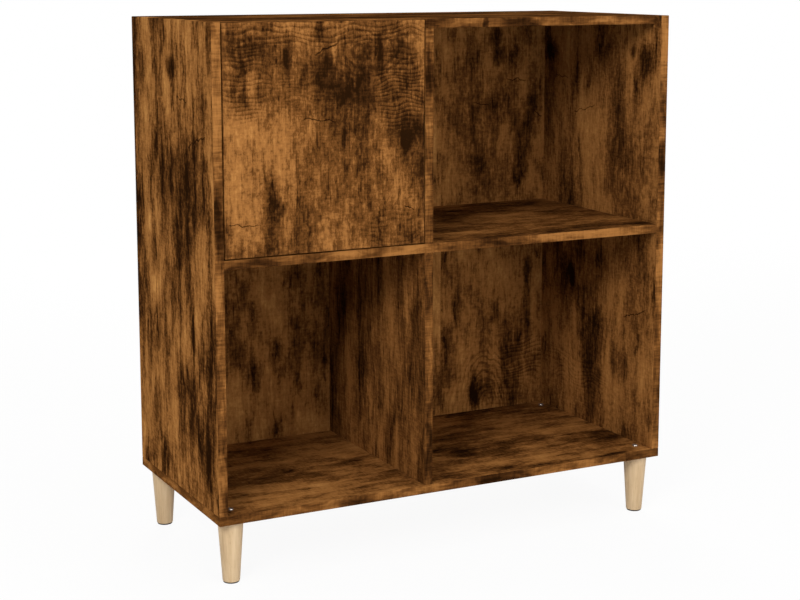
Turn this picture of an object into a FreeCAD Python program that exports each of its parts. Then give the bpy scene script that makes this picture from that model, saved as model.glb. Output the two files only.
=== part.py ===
# Record cabinet on four turned legs: two bays over two bays, one of them behind an inset door.
# Millimetres. Origin on the floor under the middle of the cabinet, front towards -Y, up is +Z.
import FreeCAD, Part
import math
import os
import re
import Sketcher

V = FreeCAD.Vector
doc = FreeCAD.newDocument("RecordCabinet")

# Driving dimensions, one row each: name, value, what it is.
SIZES = [
    # Carcass
    ("width", 845, "carcass, outside of one side to outside of the other"),
    ("depth", 380, "carcass with its back board"),
    ("body_height", 790, "carcass without the legs"),
    ("board", 15, "thickness of every carcass board"),
    ("edge_ease", 0.6, "small bevel along the banded edges of the boards"),
    ("lower_bay_height", 394.5, "clear height of the two lower bays"),
    ("left_bay_width", 351.5, "clear width of the two left bays"),
    ("back_thickness", 3, "hardboard back"),
    ("back_inset", 1.5, "the back stops this short of the carcass outline"),
    # Door
    ("door_thickness", 15, "door board"),
    ("door_hinge_gap", 2.5, "gap between the door and the left side"),
    ("door_free_gap", 2, "gap between the door and the upper divider"),
    ("door_bottom_gap", 2, "gap between the door and the shelf"),
    ("door_top_drop", 1, "door top below the cabinet's top"),
    ("door_rear_gap", 3.6, "room behind the door, in front of the top panel's edge"),
    # Hinges: a cup in the door, a pin across it and a hooked arm on the left side
    ("hinge_from_end", 80, "cup centre from the door's top or bottom edge"),
    ("cup_diameter", 35, "cup"),
    ("cup_depth", 11.9, "cup below the door's back face"),
    ("cup_from_edge", 4, "wood left between the cup and the door's edge"),
    ("cup_wall", 1, "cup wall"),
    ("cup_floor", 0.6, "cup floor"),
    ("flange_thickness", 1.2, "cup flange on the door's back"),
    ("flange_rim", 1.6, "flange outside the cup's wall"),
    ("flange_ear", 11, "width of the flange's screw ears"),
    ("flange_corner", 2.5, "cut corners of the ears"),
    ("cup_screw_spacing", 48, "between the two screws of a cup"),
    ("cup_screw_offset", 6, "screws beyond the cup centre, away from the edge"),
    ("pin_from_edge", 8.2, "hinge pin from the door's edge"),
    ("pin_from_face", 6, "hinge pin behind the door's front face"),
    ("pin_diameter", 2.5, "hinge pin"),
    ("pin_length", 16, "hinge pin"),
    ("eye_clearance", 0.05, "radial clearance of the arm's eye on the pin"),
    ("lug_clearance", 0.3, "between the arm and the cup's lugs"),
    ("lug_width", 4.6, "lug across the pin"),
    ("lug_reach", 7.6, "outer face of a lug from the middle of the cup"),
    ("knuckle_radius", 2, "round end of the arm"),
    ("hook_gap", 0.45, "between the turning door edge and the inside of the hook"),
    ("arm_thickness", 3.2, "metal of the arm"),
    ("arm_width", 9, "arm at the hook"),
    ("tongue_half", 1.3, "tongue of the arm behind the pin's middle"),
    ("base_start", 34, "base of the arm from the front plane"),
    ("base_length", 54, "base of the arm along the side"),
    ("base_width", 24, "base of the arm, up and down"),
    ("base_corner", 4, "cut corners of the base"),
    ("arm_screw_first", 52, "first arm screw from the front plane"),
    ("arm_screw_pitch", 24, "between the two arm screws"),
    # Push latch on the upper divider
    ("latch_from_top", 42, "latch axis below the top panel"),
    ("latch_axis", 7, "latch axis from the divider's face"),
    ("latch_stroke", 3, "travel of the plunger when the door is pressed"),
    ("latch_width", 14, "housing, out from the divider"),
    ("latch_height", 17, "housing, up and down"),
    ("latch_length", 54, "housing, front to rear"),
    ("latch_bore_depth", 45, "bore for the plunger"),
    ("latch_ear", 3, "thickness of the housing's screw ears"),
    ("latch_ear_length", 14, "ears, front to rear"),
    ("latch_ear_span", 38, "over both ears"),
    ("latch_screw_span", 28, "between the two latch screws"),
    ("latch_corner", 2, "cut corners of the housing"),
    ("plunger_diameter", 8, "bore of the housing"),
    ("plunger_clearance", 0.05, "radial clearance of the plunger"),
    ("plunger_length", 40, "plunger behind its magnet"),
    ("magnet_length", 2, "magnet at the plunger's tip"),
    ("strike_thickness", 1, "steel plate on the door"),
    ("strike_width", 14, "plate, across"),
    ("strike_height", 28, "plate, up and down"),
    ("strike_corner", 2, "cut corners of the plate"),
    ("strike_screw_drop", 14, "plate's screw below the latch axis"),
    ("strike_rise", 6, "plate's top above the latch axis"),
    # Legs
    ("leg_length", 101.5, "turned leg"),
    ("leg_top_diameter", 42, "leg under the carcass"),
    ("leg_foot_diameter", 28, "leg at its foot"),
    ("leg_inset", 30, "leg centre from both outer faces"),
    ("glide_thickness", 2.5, "glide under the leg"),
    ("glide_diameter", 24, "glide"),
    ("glide_pin_diameter", 2, "nail of the glide"),
    ("glide_pin_length", 14, "nail of the glide"),
    ("leg_bolt_diameter", 6, "bolt from the bay into the leg"),
    ("leg_bolt_length", 30, "bolt under its head"),
    ("leg_bolt_head", 10.5, "round head, across"),
    ("leg_bolt_rise", 3.2, "head above the board"),
    ("leg_bolt_crown", 7.4, "flat on top of the head, across"),
    ("socket_flats", 4, "hexagon socket, across its flats"),
    ("socket_depth", 2, "hexagon socket"),
    ("insert_diameter", 9.5, "threaded insert in the leg"),
    ("insert_length", 16, "threaded insert"),
    # Fittings between the boards
    ("first_row", 60, "first row of fittings from the front and from the rear"),
    ("row_pitch", 32, "next rows"),
    ("cam_setback", 24, "cam centre from the end of its board"),
    ("cam_diameter", 15, "cam bore"),
    ("cam_bore_depth", 12.5, "cam bore"),
    ("cam_height", 12.1, "cam disc"),
    ("cam_slot", 2, "key slot of the cam, across"),
    ("cam_slot_depth", 2.5, "key slot of the cam"),
    ("cam_pocket", 7.4, "bore in the cam for the bolt's head"),
    ("bolt_bore", 8, "bore in the board's end for bolt or dowel"),
    ("bolt_rod", 5, "rod of the cam bolt"),
    ("bolt_thread_depth", 11, "threaded end of the cam bolt"),
    ("bolt_head", 6.6, "head of the cam bolt"),
    ("bolt_head_length", 3, "head of the cam bolt"),
    ("dowel_diameter", 8, "wooden dowel"),
    ("dowel_length", 30, "wooden dowel"),
    ("dowel_face_depth", 10, "dowel in the face of a board"),
    ("screw_thread", 5, "carcass screw"),
    ("screw_length", 50, "carcass screw"),
    ("screw_shank", 6.5, "carcass screw inside the bottom panel"),
    ("screw_head", 10, "head of the carcass screw"),
    ("screw_head_depth", 3.5, "head of the carcass screw"),
    ("small_screw", 3, "screw of the hinges and the latch"),
    ("small_screw_length", 10, "small screw in the wood"),
    ("small_screw_head", 5.6, "head of the small screw"),
    ("small_screw_rise", 1.4, "head of the small screw above its piece"),
    ("fit_clearance", 0.1, "radial clearance of the fittings in their bores"),
    ("end_clearance", 0.5, "room at the end of a blind bore"),
    ("overrun", 1, "cuts run this far past a face"),
]

# Sizes that follow from the driving ones.
DERIVED = {
    "foot_height": "leg_length + glide_thickness",
    "carcass_depth": "depth - back_thickness",
    "side_height": "body_height - board",
    "inner_width": "width - 2 * board",
    "shelf_level": "board + lower_bay_height",
    "upper_bay_height": "body_height - 3 * board - lower_bay_height",
    "divider_left": "board + left_bay_width",
    "divider_middle": "divider_left + board / 2",
    "top_setback": "door_thickness + door_rear_gap",
    "door_left": "board + door_hinge_gap",
    "door_bottom": "shelf_level + board + door_bottom_gap",
    "door_width": "left_bay_width - door_hinge_gap - door_free_gap",
    "door_height": "body_height - door_top_drop - door_bottom",
    "cup_middle": "door_left + cup_from_edge + cup_diameter / 2",
    "pin_across": "door_left + pin_from_edge",
    "lower_hinge_level": "door_bottom + hinge_from_end",
    "upper_hinge_level": "door_bottom + door_height - hinge_from_end",
    "edge_sweep": "sqrt(pin_from_edge ^ 2 + (door_thickness - pin_from_face) ^ 2)",
    "hook_radius": "edge_sweep + hook_gap",
    "arm_screw_second": "arm_screw_first + arm_screw_pitch",
    "latch_across": "divider_left - latch_axis",
    "latch_level": "body_height - board - latch_from_top",
    "strike_face": "door_thickness + strike_thickness",
    "latch_front": "strike_face + latch_stroke + end_clearance",
    "front_row": "first_row",
    "rear_row": "carcass_depth - first_row",
    "front_dowel": "first_row + row_pitch",
    "rear_dowel": "carcass_depth - first_row - row_pitch",
    "front_low_row": "first_row + 2 * row_pitch",
    "rear_low_row": "carcass_depth - first_row - 2 * row_pitch",
    "dowel_end_depth": "dowel_length - dowel_face_depth + end_clearance",
    "leg_right": "width - leg_inset",
    "leg_rear": "depth - leg_inset",
}

sheet = doc.addObject("Spreadsheet::Sheet", "Sizes")
for row, (alias, value, note) in enumerate(SIZES, start=1):
    sheet.set("A%d" % row, note)
    sheet.set("B%d" % row, str(value))
    sheet.setAlias("B%d" % row, alias)
doc.recompute()
DRIVING = {alias for alias, value, note in SIZES}


def spell(formula):
    """Write a formula of size names as an expression on the sheet's cells."""
    def word(match):
        name = match.group(0)
        if name in DRIVING:
            return "Sizes." + name
        if name in DERIVED:
            return "(" + spell(DERIVED[name]) + ")"
        return name
    return re.sub(r"[a-z][a-z_]*[a-z]", word, formula)


def number(formula):
    """The value of a formula of size names."""
    return float(sheet.evalExpression(spell(formula)))


def place(thing, x, y, z):
    """Put a sub-part at a point measured from the carcass's left front lower corner."""
    thing.setExpression("Placement.Base.x", spell("(%s) - width / 2" % x))
    thing.setExpression("Placement.Base.y", spell("(%s) - depth / 2" % y))
    thing.setExpression("Placement.Base.z", spell("(%s) + foot_height" % z))


def new_body(label, x="width / 2", y="depth / 2", z="0"):
    body = doc.addObject("PartDesign::Body", label)
    body.Label = label
    place(body, x, y, z)
    return body


def new_sketch(body, name, role, level="0"):
    """A sketch on one of the body's own planes, moved along that plane's normal to a level."""
    sketch = body.newObject("Sketcher::SketchObject", name)
    plane = [feature for feature in body.Origin.OriginFeatures if feature.Role == role][0]
    sketch.AttachmentSupport = (plane, [""])
    sketch.MapMode = "FlatFace"
    sketch.setExpression("AttachmentOffset.Base.z", spell(level))
    return sketch


def pin_down(sketch, spots):
    """Fix points of a sketch, given as (geometry, point, across, up), by their two distances
    from the sketch's origin."""
    rules = []
    formulas = []
    for geometry, point, across, up in spots:
        for kind, formula in (("DistanceX", across), ("DistanceY", up)):
            rules.append(Sketcher.Constraint(kind, -1, 1, geometry, point, number(formula)))
            formulas.append(formula)
    first = sketch.ConstraintCount
    sketch.addConstraint(rules)
    for i, formula in enumerate(formulas, start=first):
        sketch.setExpression("Constraints[%d]" % i, spell(formula))


def outline(sketch, corners):
    """A closed outline of straight lines through corners given as pairs of formulas."""
    points = [V(number(across), number(up), 0) for across, up in corners]
    first = sketch.GeometryCount
    count = len(points)
    sketch.addGeometry([Part.LineSegment(points[i], points[(i + 1) % count])
                        for i in range(count)], False)
    sketch.addConstraint([Sketcher.Constraint("Coincident", first + i, 2, first + (i + 1) % count, 1)
                          for i in range(count)])
    pin_down(sketch, [(first + i, 1, across, up) for i, (across, up) in enumerate(corners)])


def rectangle(sketch, left, low, right, high):
    outline(sketch, [(left, low), (right, low), (right, high), (left, high)])


def circle(sketch, across, up, diameter):
    centre = V(number(across), number(up), 0)
    index = sketch.addGeometry(Part.Circle(centre, V(0, 0, 1), number(diameter) / 2), False)
    pin_down(sketch, [(index, 3, across, up)])
    rule = sketch.addConstraint(Sketcher.Constraint("Diameter", index, number(diameter)))
    sketch.setExpression("Constraints[%d]" % rule, spell(diameter))


def clipped(sketch, left, low, right, high, cut):
    """A rectangle with its four corners cut off."""
    outline(sketch, [("%s + %s" % (left, cut), low), ("%s - %s" % (right, cut), low),
                     (right, "%s + %s" % (low, cut)), (right, "%s - %s" % (high, cut)),
                     ("%s - %s" % (right, cut), high), ("%s + %s" % (left, cut), high),
                     (left, "%s - %s" % (high, cut)), (left, "%s + %s" % (low, cut))])


def many_sided(sketch, across, up, diameter, sides=8):
    """A regular outline in place of a circle, its flats on that circle. The fittings and their
    bores have it, lie the same way round and so keep the clearance of round ones."""
    step = math.pi / sides
    reach = number(diameter) / 2 / math.cos(step)
    middle = V(number(across), number(up), 0)
    corners = [middle + V(reach * math.cos((2 * k + 1) * step), reach * math.sin((2 * k + 1) * step), 0)
               for k in range(sides)]
    first = sketch.GeometryCount
    sketch.addGeometry([Part.LineSegment(corners[i], corners[(i + 1) % sides])
                        for i in range(sides)], False)
    around = sketch.addGeometry(Part.Circle(middle, V(0, 0, 1), reach), True)
    rules = [Sketcher.Constraint("Vertical", first + sides - 1)]
    for i in range(sides):
        rules.append(Sketcher.Constraint("Coincident", first + i, 2, first + (i + 1) % sides, 1))
        rules.append(Sketcher.Constraint("PointOnObject", first + i, 1, around))
        if i > 0:
            rules.append(Sketcher.Constraint("Equal", first, first + i))
    sketch.addConstraint(rules)
    pin_down(sketch, [(around, 3, across, up)])
    rule = sketch.addConstraint(Sketcher.Constraint("Diameter", around, 2 * reach))
    sketch.setExpression("Constraints[%d]" % rule, spell("(%s) / cos(%s)" % (diameter, 180 / sides)))


def pad(body, sketch, name, length, both_ways=False, backwards=False):
    feature = body.newObject("PartDesign::Pad", name)
    feature.Profile = sketch
    feature.setExpression("Length", spell(length))
    feature.Midplane = both_ways
    feature.Reversed = backwards
    doc.recompute()
    return feature


def pocket(body, sketch, name, depth, backwards=False, both_ways=False):
    """Cut a pocket and make sure that it took something away."""
    before = body.Shape.Volume
    feature = body.newObject("PartDesign::Pocket", name)
    feature.Profile = sketch
    feature.setExpression("Length", spell(depth))
    feature.Midplane = both_ways
    feature.Reversed = backwards
    doc.recompute()
    if not body.Shape.Volume < before:
        raise RuntimeError("%s in %s cut nothing" % (name, body.Label))
    return feature


def turn(body, sketch, name, angle=360):
    """Turn a sketch about its own upright axis."""
    feature = body.newObject("PartDesign::Revolution", name)
    feature.Profile = sketch
    feature.ReferenceAxis = (sketch, ["V_Axis"])
    feature.Angle = angle
    doc.recompute()


def turned(label, profile, x="width / 2", y="depth / 2", z="0"):
    """A round piece about its own Z axis, from half its outline as (radius, height) pairs."""
    body = new_body(label, x, y, z)
    sketch = new_sketch(body, label + "_profile", "XZ_Plane")
    outline(sketch, profile)
    turn(body, sketch, label + "_turned")
    return body


def stacked(label, lengths, x="width / 2", y="depth / 2", z="0", sides=8):
    """A many-sided piece about its own Z axis from (diameter, start, end) of each length."""
    body = new_body(label, x, y, z)
    for i, (diameter, start, end) in enumerate(lengths):
        sketch = new_sketch(body, "%s_outline_%d" % (label, i), "XY_Plane", start)
        many_sided(sketch, "0", "0", diameter, sides)
        pad(body, sketch, "%s_length_%d" % (label, i), "(%s) - (%s)" % (end, start))
    return body


def faces_along_z(feature, upward):
    """The names of a feature's faces that look up, or else of those that look sideways."""
    names = []
    for i, face in enumerate(feature.Shape.Faces, start=1):
        rise = face.normalAt(0, 0).z
        if rise > straight_share if upward else abs(rise) < straight_share:
            names.append("Face%d" % i)
    return names


def ease_edges(body, feature, name, size):
    """A small bevel on all the edges of a feature."""
    bevel = body.newObject("PartDesign::Chamfer", name)
    bevel.Base = (feature, [""])
    bevel.UseAllEdges = True
    bevel.setExpression("Size", spell(size))
    doc.recompute()


# A face looks along an axis from this share of its direction on.
straight_share = 0.9

# Boards: low corner and extent of each, from the carcass's left front lower corner.
BOARDS = {
    "left_side": (("0", "0", "board"), ("board", "carcass_depth", "side_height")),
    "right_side": (("width - board", "0", "board"), ("board", "carcass_depth", "side_height")),
    "bottom_panel": (("0", "0", "0"), ("width", "carcass_depth", "board")),
    "top_panel": (("board", "top_setback", "side_height"),
                  ("inner_width", "carcass_depth - top_setback", "board")),
    "middle_shelf": (("board", "0", "shelf_level"), ("inner_width", "carcass_depth", "board")),
    "upper_divider": (("divider_left", "0", "shelf_level + board"),
                      ("board", "carcass_depth", "upper_bay_height")),
    "lower_divider": (("divider_left", "0", "board"),
                      ("board", "carcass_depth", "lower_bay_height")),
    "back_board": (("back_inset", "carcass_depth", "back_inset"),
                   ("width - 2 * back_inset", "back_thickness", "body_height - 2 * back_inset")),
    "door": (("door_left", "0", "door_bottom"), ("door_width", "door_thickness", "door_height")),
}
boards = {}


def make_board(label):
    corner, extent = BOARDS[label]
    body = new_body(label, *corner)
    sketch = new_sketch(body, label + "_outline", "XY_Plane")
    rectangle(sketch, "0", "0", extent[0], extent[1])
    blank = pad(body, sketch, label + "_blank", extent[2])
    if label != "back_board":
        ease_edges(body, blank, label + "_edges", "edge_ease")
    boards[label] = body


# A face of a board: its plane, whether it is the far one, and the two directions along it.
FACES = {
    "left": ("YZ_Plane", False, "y", "z"),
    "right": ("YZ_Plane", True, "y", "z"),
    "front": ("XZ_Plane", False, "x", "z"),
    "rear": ("XZ_Plane", True, "x", "z"),
    "under": ("XY_Plane", False, "x", "y"),
    "upper": ("XY_Plane", True, "x", "y"),
}
NORMAL_OF = {"YZ_Plane": "x", "XZ_Plane": "y", "XY_Plane": "z"}


def along(values, axis):
    """The value for one axis out of three."""
    return values["xyz".index(axis)]


def drill(label, name, face, places, diameter, depth, sides=8):
    """Bore holes into a face of a board, at places measured like the board's corner."""
    role, far, across, up = FACES[face]
    corner, extent = BOARDS[label]
    level = along(extent, NORMAL_OF[role]) if far else "0"
    turned_plane = role == "XZ_Plane"
    if turned_plane:
        level = "-(%s)" % level
    sketch = new_sketch(boards[label], "%s_%s_places" % (label, name), role, level)
    for a, b in places:
        many_sided(sketch, "(%s) - (%s)" % (a, along(corner, across)),
                   "(%s) - (%s)" % (b, along(corner, up)), diameter, sides)
    pocket(boards[label], sketch, "%s_%s" % (label, name), depth, backwards=far == turned_plane)


def grid(firsts, seconds):
    return [(a, b) for a in firsts for b in seconds]


for board_label in BOARDS:
    make_board(board_label)

ROWS = ("front_row", "rear_row")
DOWEL_ROWS = ("front_dowel", "rear_dowel")
LOW_ROWS = ("front_low_row", "rear_low_row")
MIDDLE_ROW = ("carcass_depth / 2",)
TOP_MIDDLE = "body_height - board / 2"
SHELF_MIDDLE = "shelf_level + board / 2"
SIDE_MIDDLES = ("board / 2", "width - board / 2")
LEG_PLACES = grid(("leg_inset", "leg_right"), ("leg_inset", "leg_rear"))

# Both sides: cam bolts and dowels of the top and the shelf, screws and dowels of the bottom.
for side, inner_face, middle in (("left_side", "right", SIDE_MIDDLES[0]),
                                 ("right_side", "left", SIDE_MIDDLES[1])):
    drill(side, "bolt_holes", inner_face, grid(ROWS, (SHELF_MIDDLE, TOP_MIDDLE)),
          "bolt_rod + 2 * fit_clearance", "bolt_thread_depth + end_clearance")
    drill(side, "dowel_holes", inner_face, grid(DOWEL_ROWS, (SHELF_MIDDLE, TOP_MIDDLE)),
          "dowel_diameter + 2 * fit_clearance", "dowel_face_depth + end_clearance")
    drill(side, "screw_holes", "under", grid((middle,), ROWS),
          "screw_thread + 2 * fit_clearance", "screw_length - board + end_clearance")
    drill(side, "lower_dowel_holes", "under", grid((middle,), DOWEL_ROWS),
          "dowel_diameter + 2 * fit_clearance", "dowel_end_depth")

# The top and the shelf: cams from below, bolts and dowels in their ends.
for shelf, middle in (("top_panel", TOP_MIDDLE), ("middle_shelf", SHELF_MIDDLE)):
    drill(shelf, "cam_bores", "under",
          grid(("board + cam_setback", "width - board - cam_setback"), ROWS),
          "cam_diameter", "cam_bore_depth", sides=12)
    for end in ("left", "right"):
        drill(shelf, end + "_bolt_bores", end, grid(ROWS, (middle,)), "bolt_bore", "cam_setback")
        drill(shelf, end + "_dowel_bores", end, grid(DOWEL_ROWS, (middle,)),
              "dowel_diameter + 2 * fit_clearance", "dowel_end_depth")

# Where the dividers meet the top, the shelf and the bottom.
for board_label, face in (("top_panel", "under"), ("middle_shelf", "upper")):
    drill(board_label, "divider_bolt_holes", face, grid(("divider_middle",), ROWS),
          "bolt_rod + 2 * fit_clearance", "bolt_thread_depth + end_clearance")
    drill(board_label, "divider_dowel_holes", face, grid(("divider_middle",), DOWEL_ROWS),
          "dowel_diameter + 2 * fit_clearance", "dowel_face_depth + end_clearance")
drill("middle_shelf", "lower_bolt_holes", "under", grid(("divider_middle",), LOW_ROWS),
      "bolt_rod + 2 * fit_clearance", "bolt_thread_depth + end_clearance")
drill("middle_shelf", "lower_dowel_hole", "under", grid(("divider_middle",), MIDDLE_ROW),
      "dowel_diameter + 2 * fit_clearance", "dowel_face_depth + end_clearance")
UNDER_TOP = "side_height - cam_setback"
OVER_SHELF = "shelf_level + board + cam_setback"
UNDER_SHELF = "shelf_level - cam_setback"
drill("upper_divider", "cam_bores", "right", grid(ROWS, (UNDER_TOP, OVER_SHELF)),
      "cam_diameter", "cam_bore_depth", sides=12)
drill("lower_divider", "cam_bores", "right", grid(LOW_ROWS, (UNDER_SHELF,)),
      "cam_diameter", "cam_bore_depth", sides=12)
for end in ("under", "upper"):
    drill("upper_divider", end + "_bolt_bores", end, grid(("divider_middle",), ROWS),
          "bolt_bore", "cam_setback")
    drill("upper_divider", end + "_dowel_bores", end, grid(("divider_middle",), DOWEL_ROWS),
          "dowel_diameter + 2 * fit_clearance", "dowel_end_depth")
drill("lower_divider", "bolt_bores", "upper", grid(("divider_middle",), LOW_ROWS),
      "bolt_bore", "cam_setback")
drill("lower_divider", "dowel_bore", "upper", grid(("divider_middle",), MIDDLE_ROW),
      "dowel_diameter + 2 * fit_clearance", "dowel_end_depth")
drill("lower_divider", "screw_holes", "under", grid(("divider_middle",), ROWS),
      "screw_thread + 2 * fit_clearance", "screw_length - board + end_clearance")
drill("lower_divider", "lower_dowel_bores", "under", grid(("divider_middle",), DOWEL_ROWS),
      "dowel_diameter + 2 * fit_clearance", "dowel_end_depth")

# The bottom: screws from below into the sides and the lower divider, bolts of the legs.
STANDING = SIDE_MIDDLES + ("divider_middle",)
drill("bottom_panel", "dowel_holes", "upper", grid(STANDING, DOWEL_ROWS),
      "dowel_diameter + 2 * fit_clearance", "dowel_face_depth + end_clearance")
drill("bottom_panel", "screw_holes", "under", grid(STANDING, ROWS),
      "screw_shank + 2 * fit_clearance", "board + overrun")
drill("bottom_panel", "screw_seats", "under", grid(STANDING, ROWS),
      "screw_head + 2 * fit_clearance", "screw_head_depth")
drill("bottom_panel", "leg_bolt_holes", "under", LEG_PLACES,
      "leg_bolt_diameter + 2 * fit_clearance", "board + overrun")

# The door: bores of the two cups and of the small screws.
HINGE_LEVELS = ("lower_hinge_level", "upper_hinge_level")
CUP_SCREWS = [("cup_middle + cup_screw_offset", "%s %s cup_screw_spacing / 2" % (level, sign))
              for level in HINGE_LEVELS for sign in "-+"]
STRIKE_SCREW = ("latch_across", "latch_level - strike_screw_drop")
drill("door", "cup_bores", "rear", grid(("cup_middle",), HINGE_LEVELS),
      "cup_diameter + 2 * fit_clearance", "cup_depth", sides=24)
drill("door", "screw_holes", "rear", CUP_SCREWS + [STRIKE_SCREW],
      "small_screw + 2 * fit_clearance", "small_screw_length + end_clearance")
ARM_SCREWS = grid(("arm_screw_first", "arm_screw_second"), HINGE_LEVELS)
drill("left_side", "hinge_screw_holes", "right", ARM_SCREWS,
      "small_screw + 2 * fit_clearance", "small_screw_length + end_clearance")
LATCH_SCREWS = [("latch_front + latch_ear_length / 2", "latch_level %s latch_screw_span / 2" % sign)
                for sign in "-+"]
drill("upper_divider", "latch_screw_holes", "left", LATCH_SCREWS,
      "small_screw + 2 * fit_clearance", "small_screw_length + end_clearance")


# The cup: its axis runs along Y, and its origin is the middle of the bore's mouth.
def make_cup(label, level):
    body = new_body(label, "cup_middle", "door_thickness", level)
    pin_side = "pin_across - cup_middle"
    pin_depth = "pin_from_face - door_thickness"
    shell = new_sketch(body, label + "_shell_outline", "XZ_Plane", "cup_depth")
    many_sided(shell, "0", "0", "cup_diameter", sides=24)
    pad(body, shell, label + "_shell", "cup_depth", backwards=True)
    flange = new_sketch(body, label + "_flange_outline", "XZ_Plane")
    many_sided(flange, "0", "0", "cup_diameter + 2 * flange_rim", sides=24)
    pad(body, flange, label + "_flange", "flange_thickness", backwards=True)
    ears = new_sketch(body, label + "_ears_outline", "XZ_Plane")
    reach = "(cup_screw_spacing + flange_ear) / 2"
    clipped(ears, "cup_screw_offset - flange_ear / 2", "-" + reach,
            "cup_screw_offset + flange_ear / 2", reach, "flange_corner")
    pad(body, ears, label + "_ears", "flange_thickness", backwards=True)
    mouth = new_sketch(body, label + "_mouth_outline", "XZ_Plane", "-flange_thickness")
    many_sided(mouth, "0", "0", "cup_diameter - 2 * cup_wall", sides=24)
    pocket(body, mouth, label + "_mouth", "flange_thickness + cup_depth - cup_floor", backwards=True)
    flange_edge = new_sketch(body, label + "_edge_cut_outline", "XZ_Plane")
    rectangle(flange_edge, "-cup_diameter", "-cup_diameter / 2",
              "cup_wall / 2 - cup_diameter / 2", "cup_diameter / 2")
    pocket(body, flange_edge, label + "_edge_cut", "flange_thickness + overrun")
    holes = new_sketch(body, label + "_screw_places", "XZ_Plane")
    for up in ("-cup_screw_spacing / 2", "cup_screw_spacing / 2"):
        many_sided(holes, "cup_screw_offset", up, "small_screw + 2 * fit_clearance")
    pocket(body, holes, label + "_screw_holes", "flange_thickness + overrun")
    inner = "arm_width / 2 + lug_clearance"
    lugs = new_sketch(body, label + "_lug_outlines", "XZ_Plane", "-(cup_floor - cup_depth)")
    for low, high in (("-lug_reach", "-(%s)" % inner), (inner, "lug_reach")):
        rectangle(lugs, pin_side + " - lug_width / 2", low, pin_side + " + lug_width / 2", high)
    pad(body, lugs, label + "_lugs", "%s + cup_depth - cup_floor + lug_width / 2" % pin_depth,
        backwards=True)
    eye = new_sketch(body, label + "_pin_place", "XY_Plane")
    circle(eye, pin_side, pin_depth, "pin_diameter")
    pocket(body, eye, label + "_pin_hole", "pin_length", both_ways=True)


# The arm: an eye on the pin, a tongue, a quarter of a ring round the pin that the door's edge
# swings inside, and a body that runs back to a base screwed to the side. Its origin is the pin.
def make_arm(label, level):
    body = new_body(label, "pin_across", "pin_from_face", level)
    wall = "board - pin_across"
    back = "base_start + base_length - pin_from_face"
    start = "base_start - pin_from_face"
    tongue = new_sketch(body, label + "_tongue_outline", "XY_Plane")
    rectangle(tongue, "0", "-knuckle_radius", "hook_radius + arm_thickness / 2", "tongue_half")
    pad(body, tongue, label + "_tongue", "arm_width", both_ways=True)
    knuckle = new_sketch(body, label + "_knuckle_outline", "XY_Plane")
    circle(knuckle, "0", "0", "2 * knuckle_radius")
    pad(body, knuckle, label + "_knuckle", "arm_width", both_ways=True)
    ring = new_sketch(body, label + "_ring_profile", "XZ_Plane")
    rectangle(ring, "hook_radius", "-arm_width / 2", "hook_radius + arm_thickness", "arm_width / 2")
    turn(body, ring, label + "_ring", angle=90)
    neck = new_sketch(body, label + "_neck_outline", "XY_Plane")
    outline(neck, [("0", "hook_radius"), ("0", "hook_radius + arm_thickness"),
                   (wall + " + arm_thickness", "%s + base_length / 2" % start),
                   (wall, "%s + base_length / 2" % start), (wall, start)])
    pad(body, neck, label + "_neck", "arm_width", both_ways=True)
    base = new_sketch(body, label + "_base_outline", "YZ_Plane", wall)
    clipped(base, start, "-base_width / 2", back, "base_width / 2", "base_corner")
    pad(body, base, label + "_base", "arm_thickness")
    eye = new_sketch(body, label + "_eye_place", "XY_Plane")
    circle(eye, "0", "0", "pin_diameter + 2 * eye_clearance")
    pocket(body, eye, label + "_eye", "arm_width + overrun", both_ways=True)
    holes = new_sketch(body, label + "_screw_places", "YZ_Plane", wall + " - overrun")
    for screw in ("arm_screw_first", "arm_screw_second"):
        many_sided(holes, screw + " - pin_from_face", "0", "small_screw + 2 * fit_clearance")
    pocket(body, holes, label + "_screw_holes", "arm_thickness + 2 * overrun", backwards=True)
    seats = new_sketch(body, label + "_seat_places", "YZ_Plane", wall + " + arm_thickness")
    many_sided(seats, "arm_screw_first - pin_from_face", "0",
               "small_screw_head + 2 * end_clearance")
    pocket(body, seats, label + "_screw_seat", "arm_width", backwards=True)


for hinge, hinge_level in (("lower", HINGE_LEVELS[0]), ("upper", HINGE_LEVELS[1])):
    make_cup(hinge + "_hinge_cup", hinge_level)
    make_arm(hinge + "_hinge_arm", hinge_level)
    turned(hinge + "_hinge_pin",
           [("0", "-pin_length / 2"), ("pin_diameter / 2", "-pin_length / 2"),
            ("pin_diameter / 2", "pin_length / 2"), ("0", "pin_length / 2")],
           "pin_across", "pin_from_face", hinge_level)

# The latch housing: its origin is on the divider's face at the latch axis, in the front plane.
housing = new_body("latch_housing", "divider_left", "0", "latch_level")
shell_outline = new_sketch(housing, "housing_outline", "XZ_Plane", "-latch_front")
outline(shell_outline, [("0", "-latch_height / 2"), ("0", "latch_height / 2"),
                        ("latch_corner - latch_width", "latch_height / 2"),
                        ("-latch_width", "latch_height / 2 - latch_corner"),
                        ("-latch_width", "latch_corner - latch_height / 2"),
                        ("latch_corner - latch_width", "-latch_height / 2")])
pad(housing, shell_outline, "housing_case", "latch_length", backwards=True)
ear_outline = new_sketch(housing, "ear_outline", "YZ_Plane", "-latch_ear")
clipped(ear_outline, "latch_front", "-latch_ear_span / 2",
        "latch_front + latch_ear_length", "latch_ear_span / 2", "latch_corner")
pad(housing, ear_outline, "housing_ears", "latch_ear")
bore_place = new_sketch(housing, "bore_place", "XZ_Plane", "-latch_front")
circle(bore_place, "-latch_axis", "0", "plunger_diameter")
pocket(housing, bore_place, "housing_bore", "latch_bore_depth")
ear_holes = new_sketch(housing, "ear_screw_places", "YZ_Plane", "overrun")
for up in ("-latch_screw_span / 2", "latch_screw_span / 2"):
    many_sided(ear_holes, "latch_front + latch_ear_length / 2", up,
               "small_screw + 2 * fit_clearance")
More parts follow.
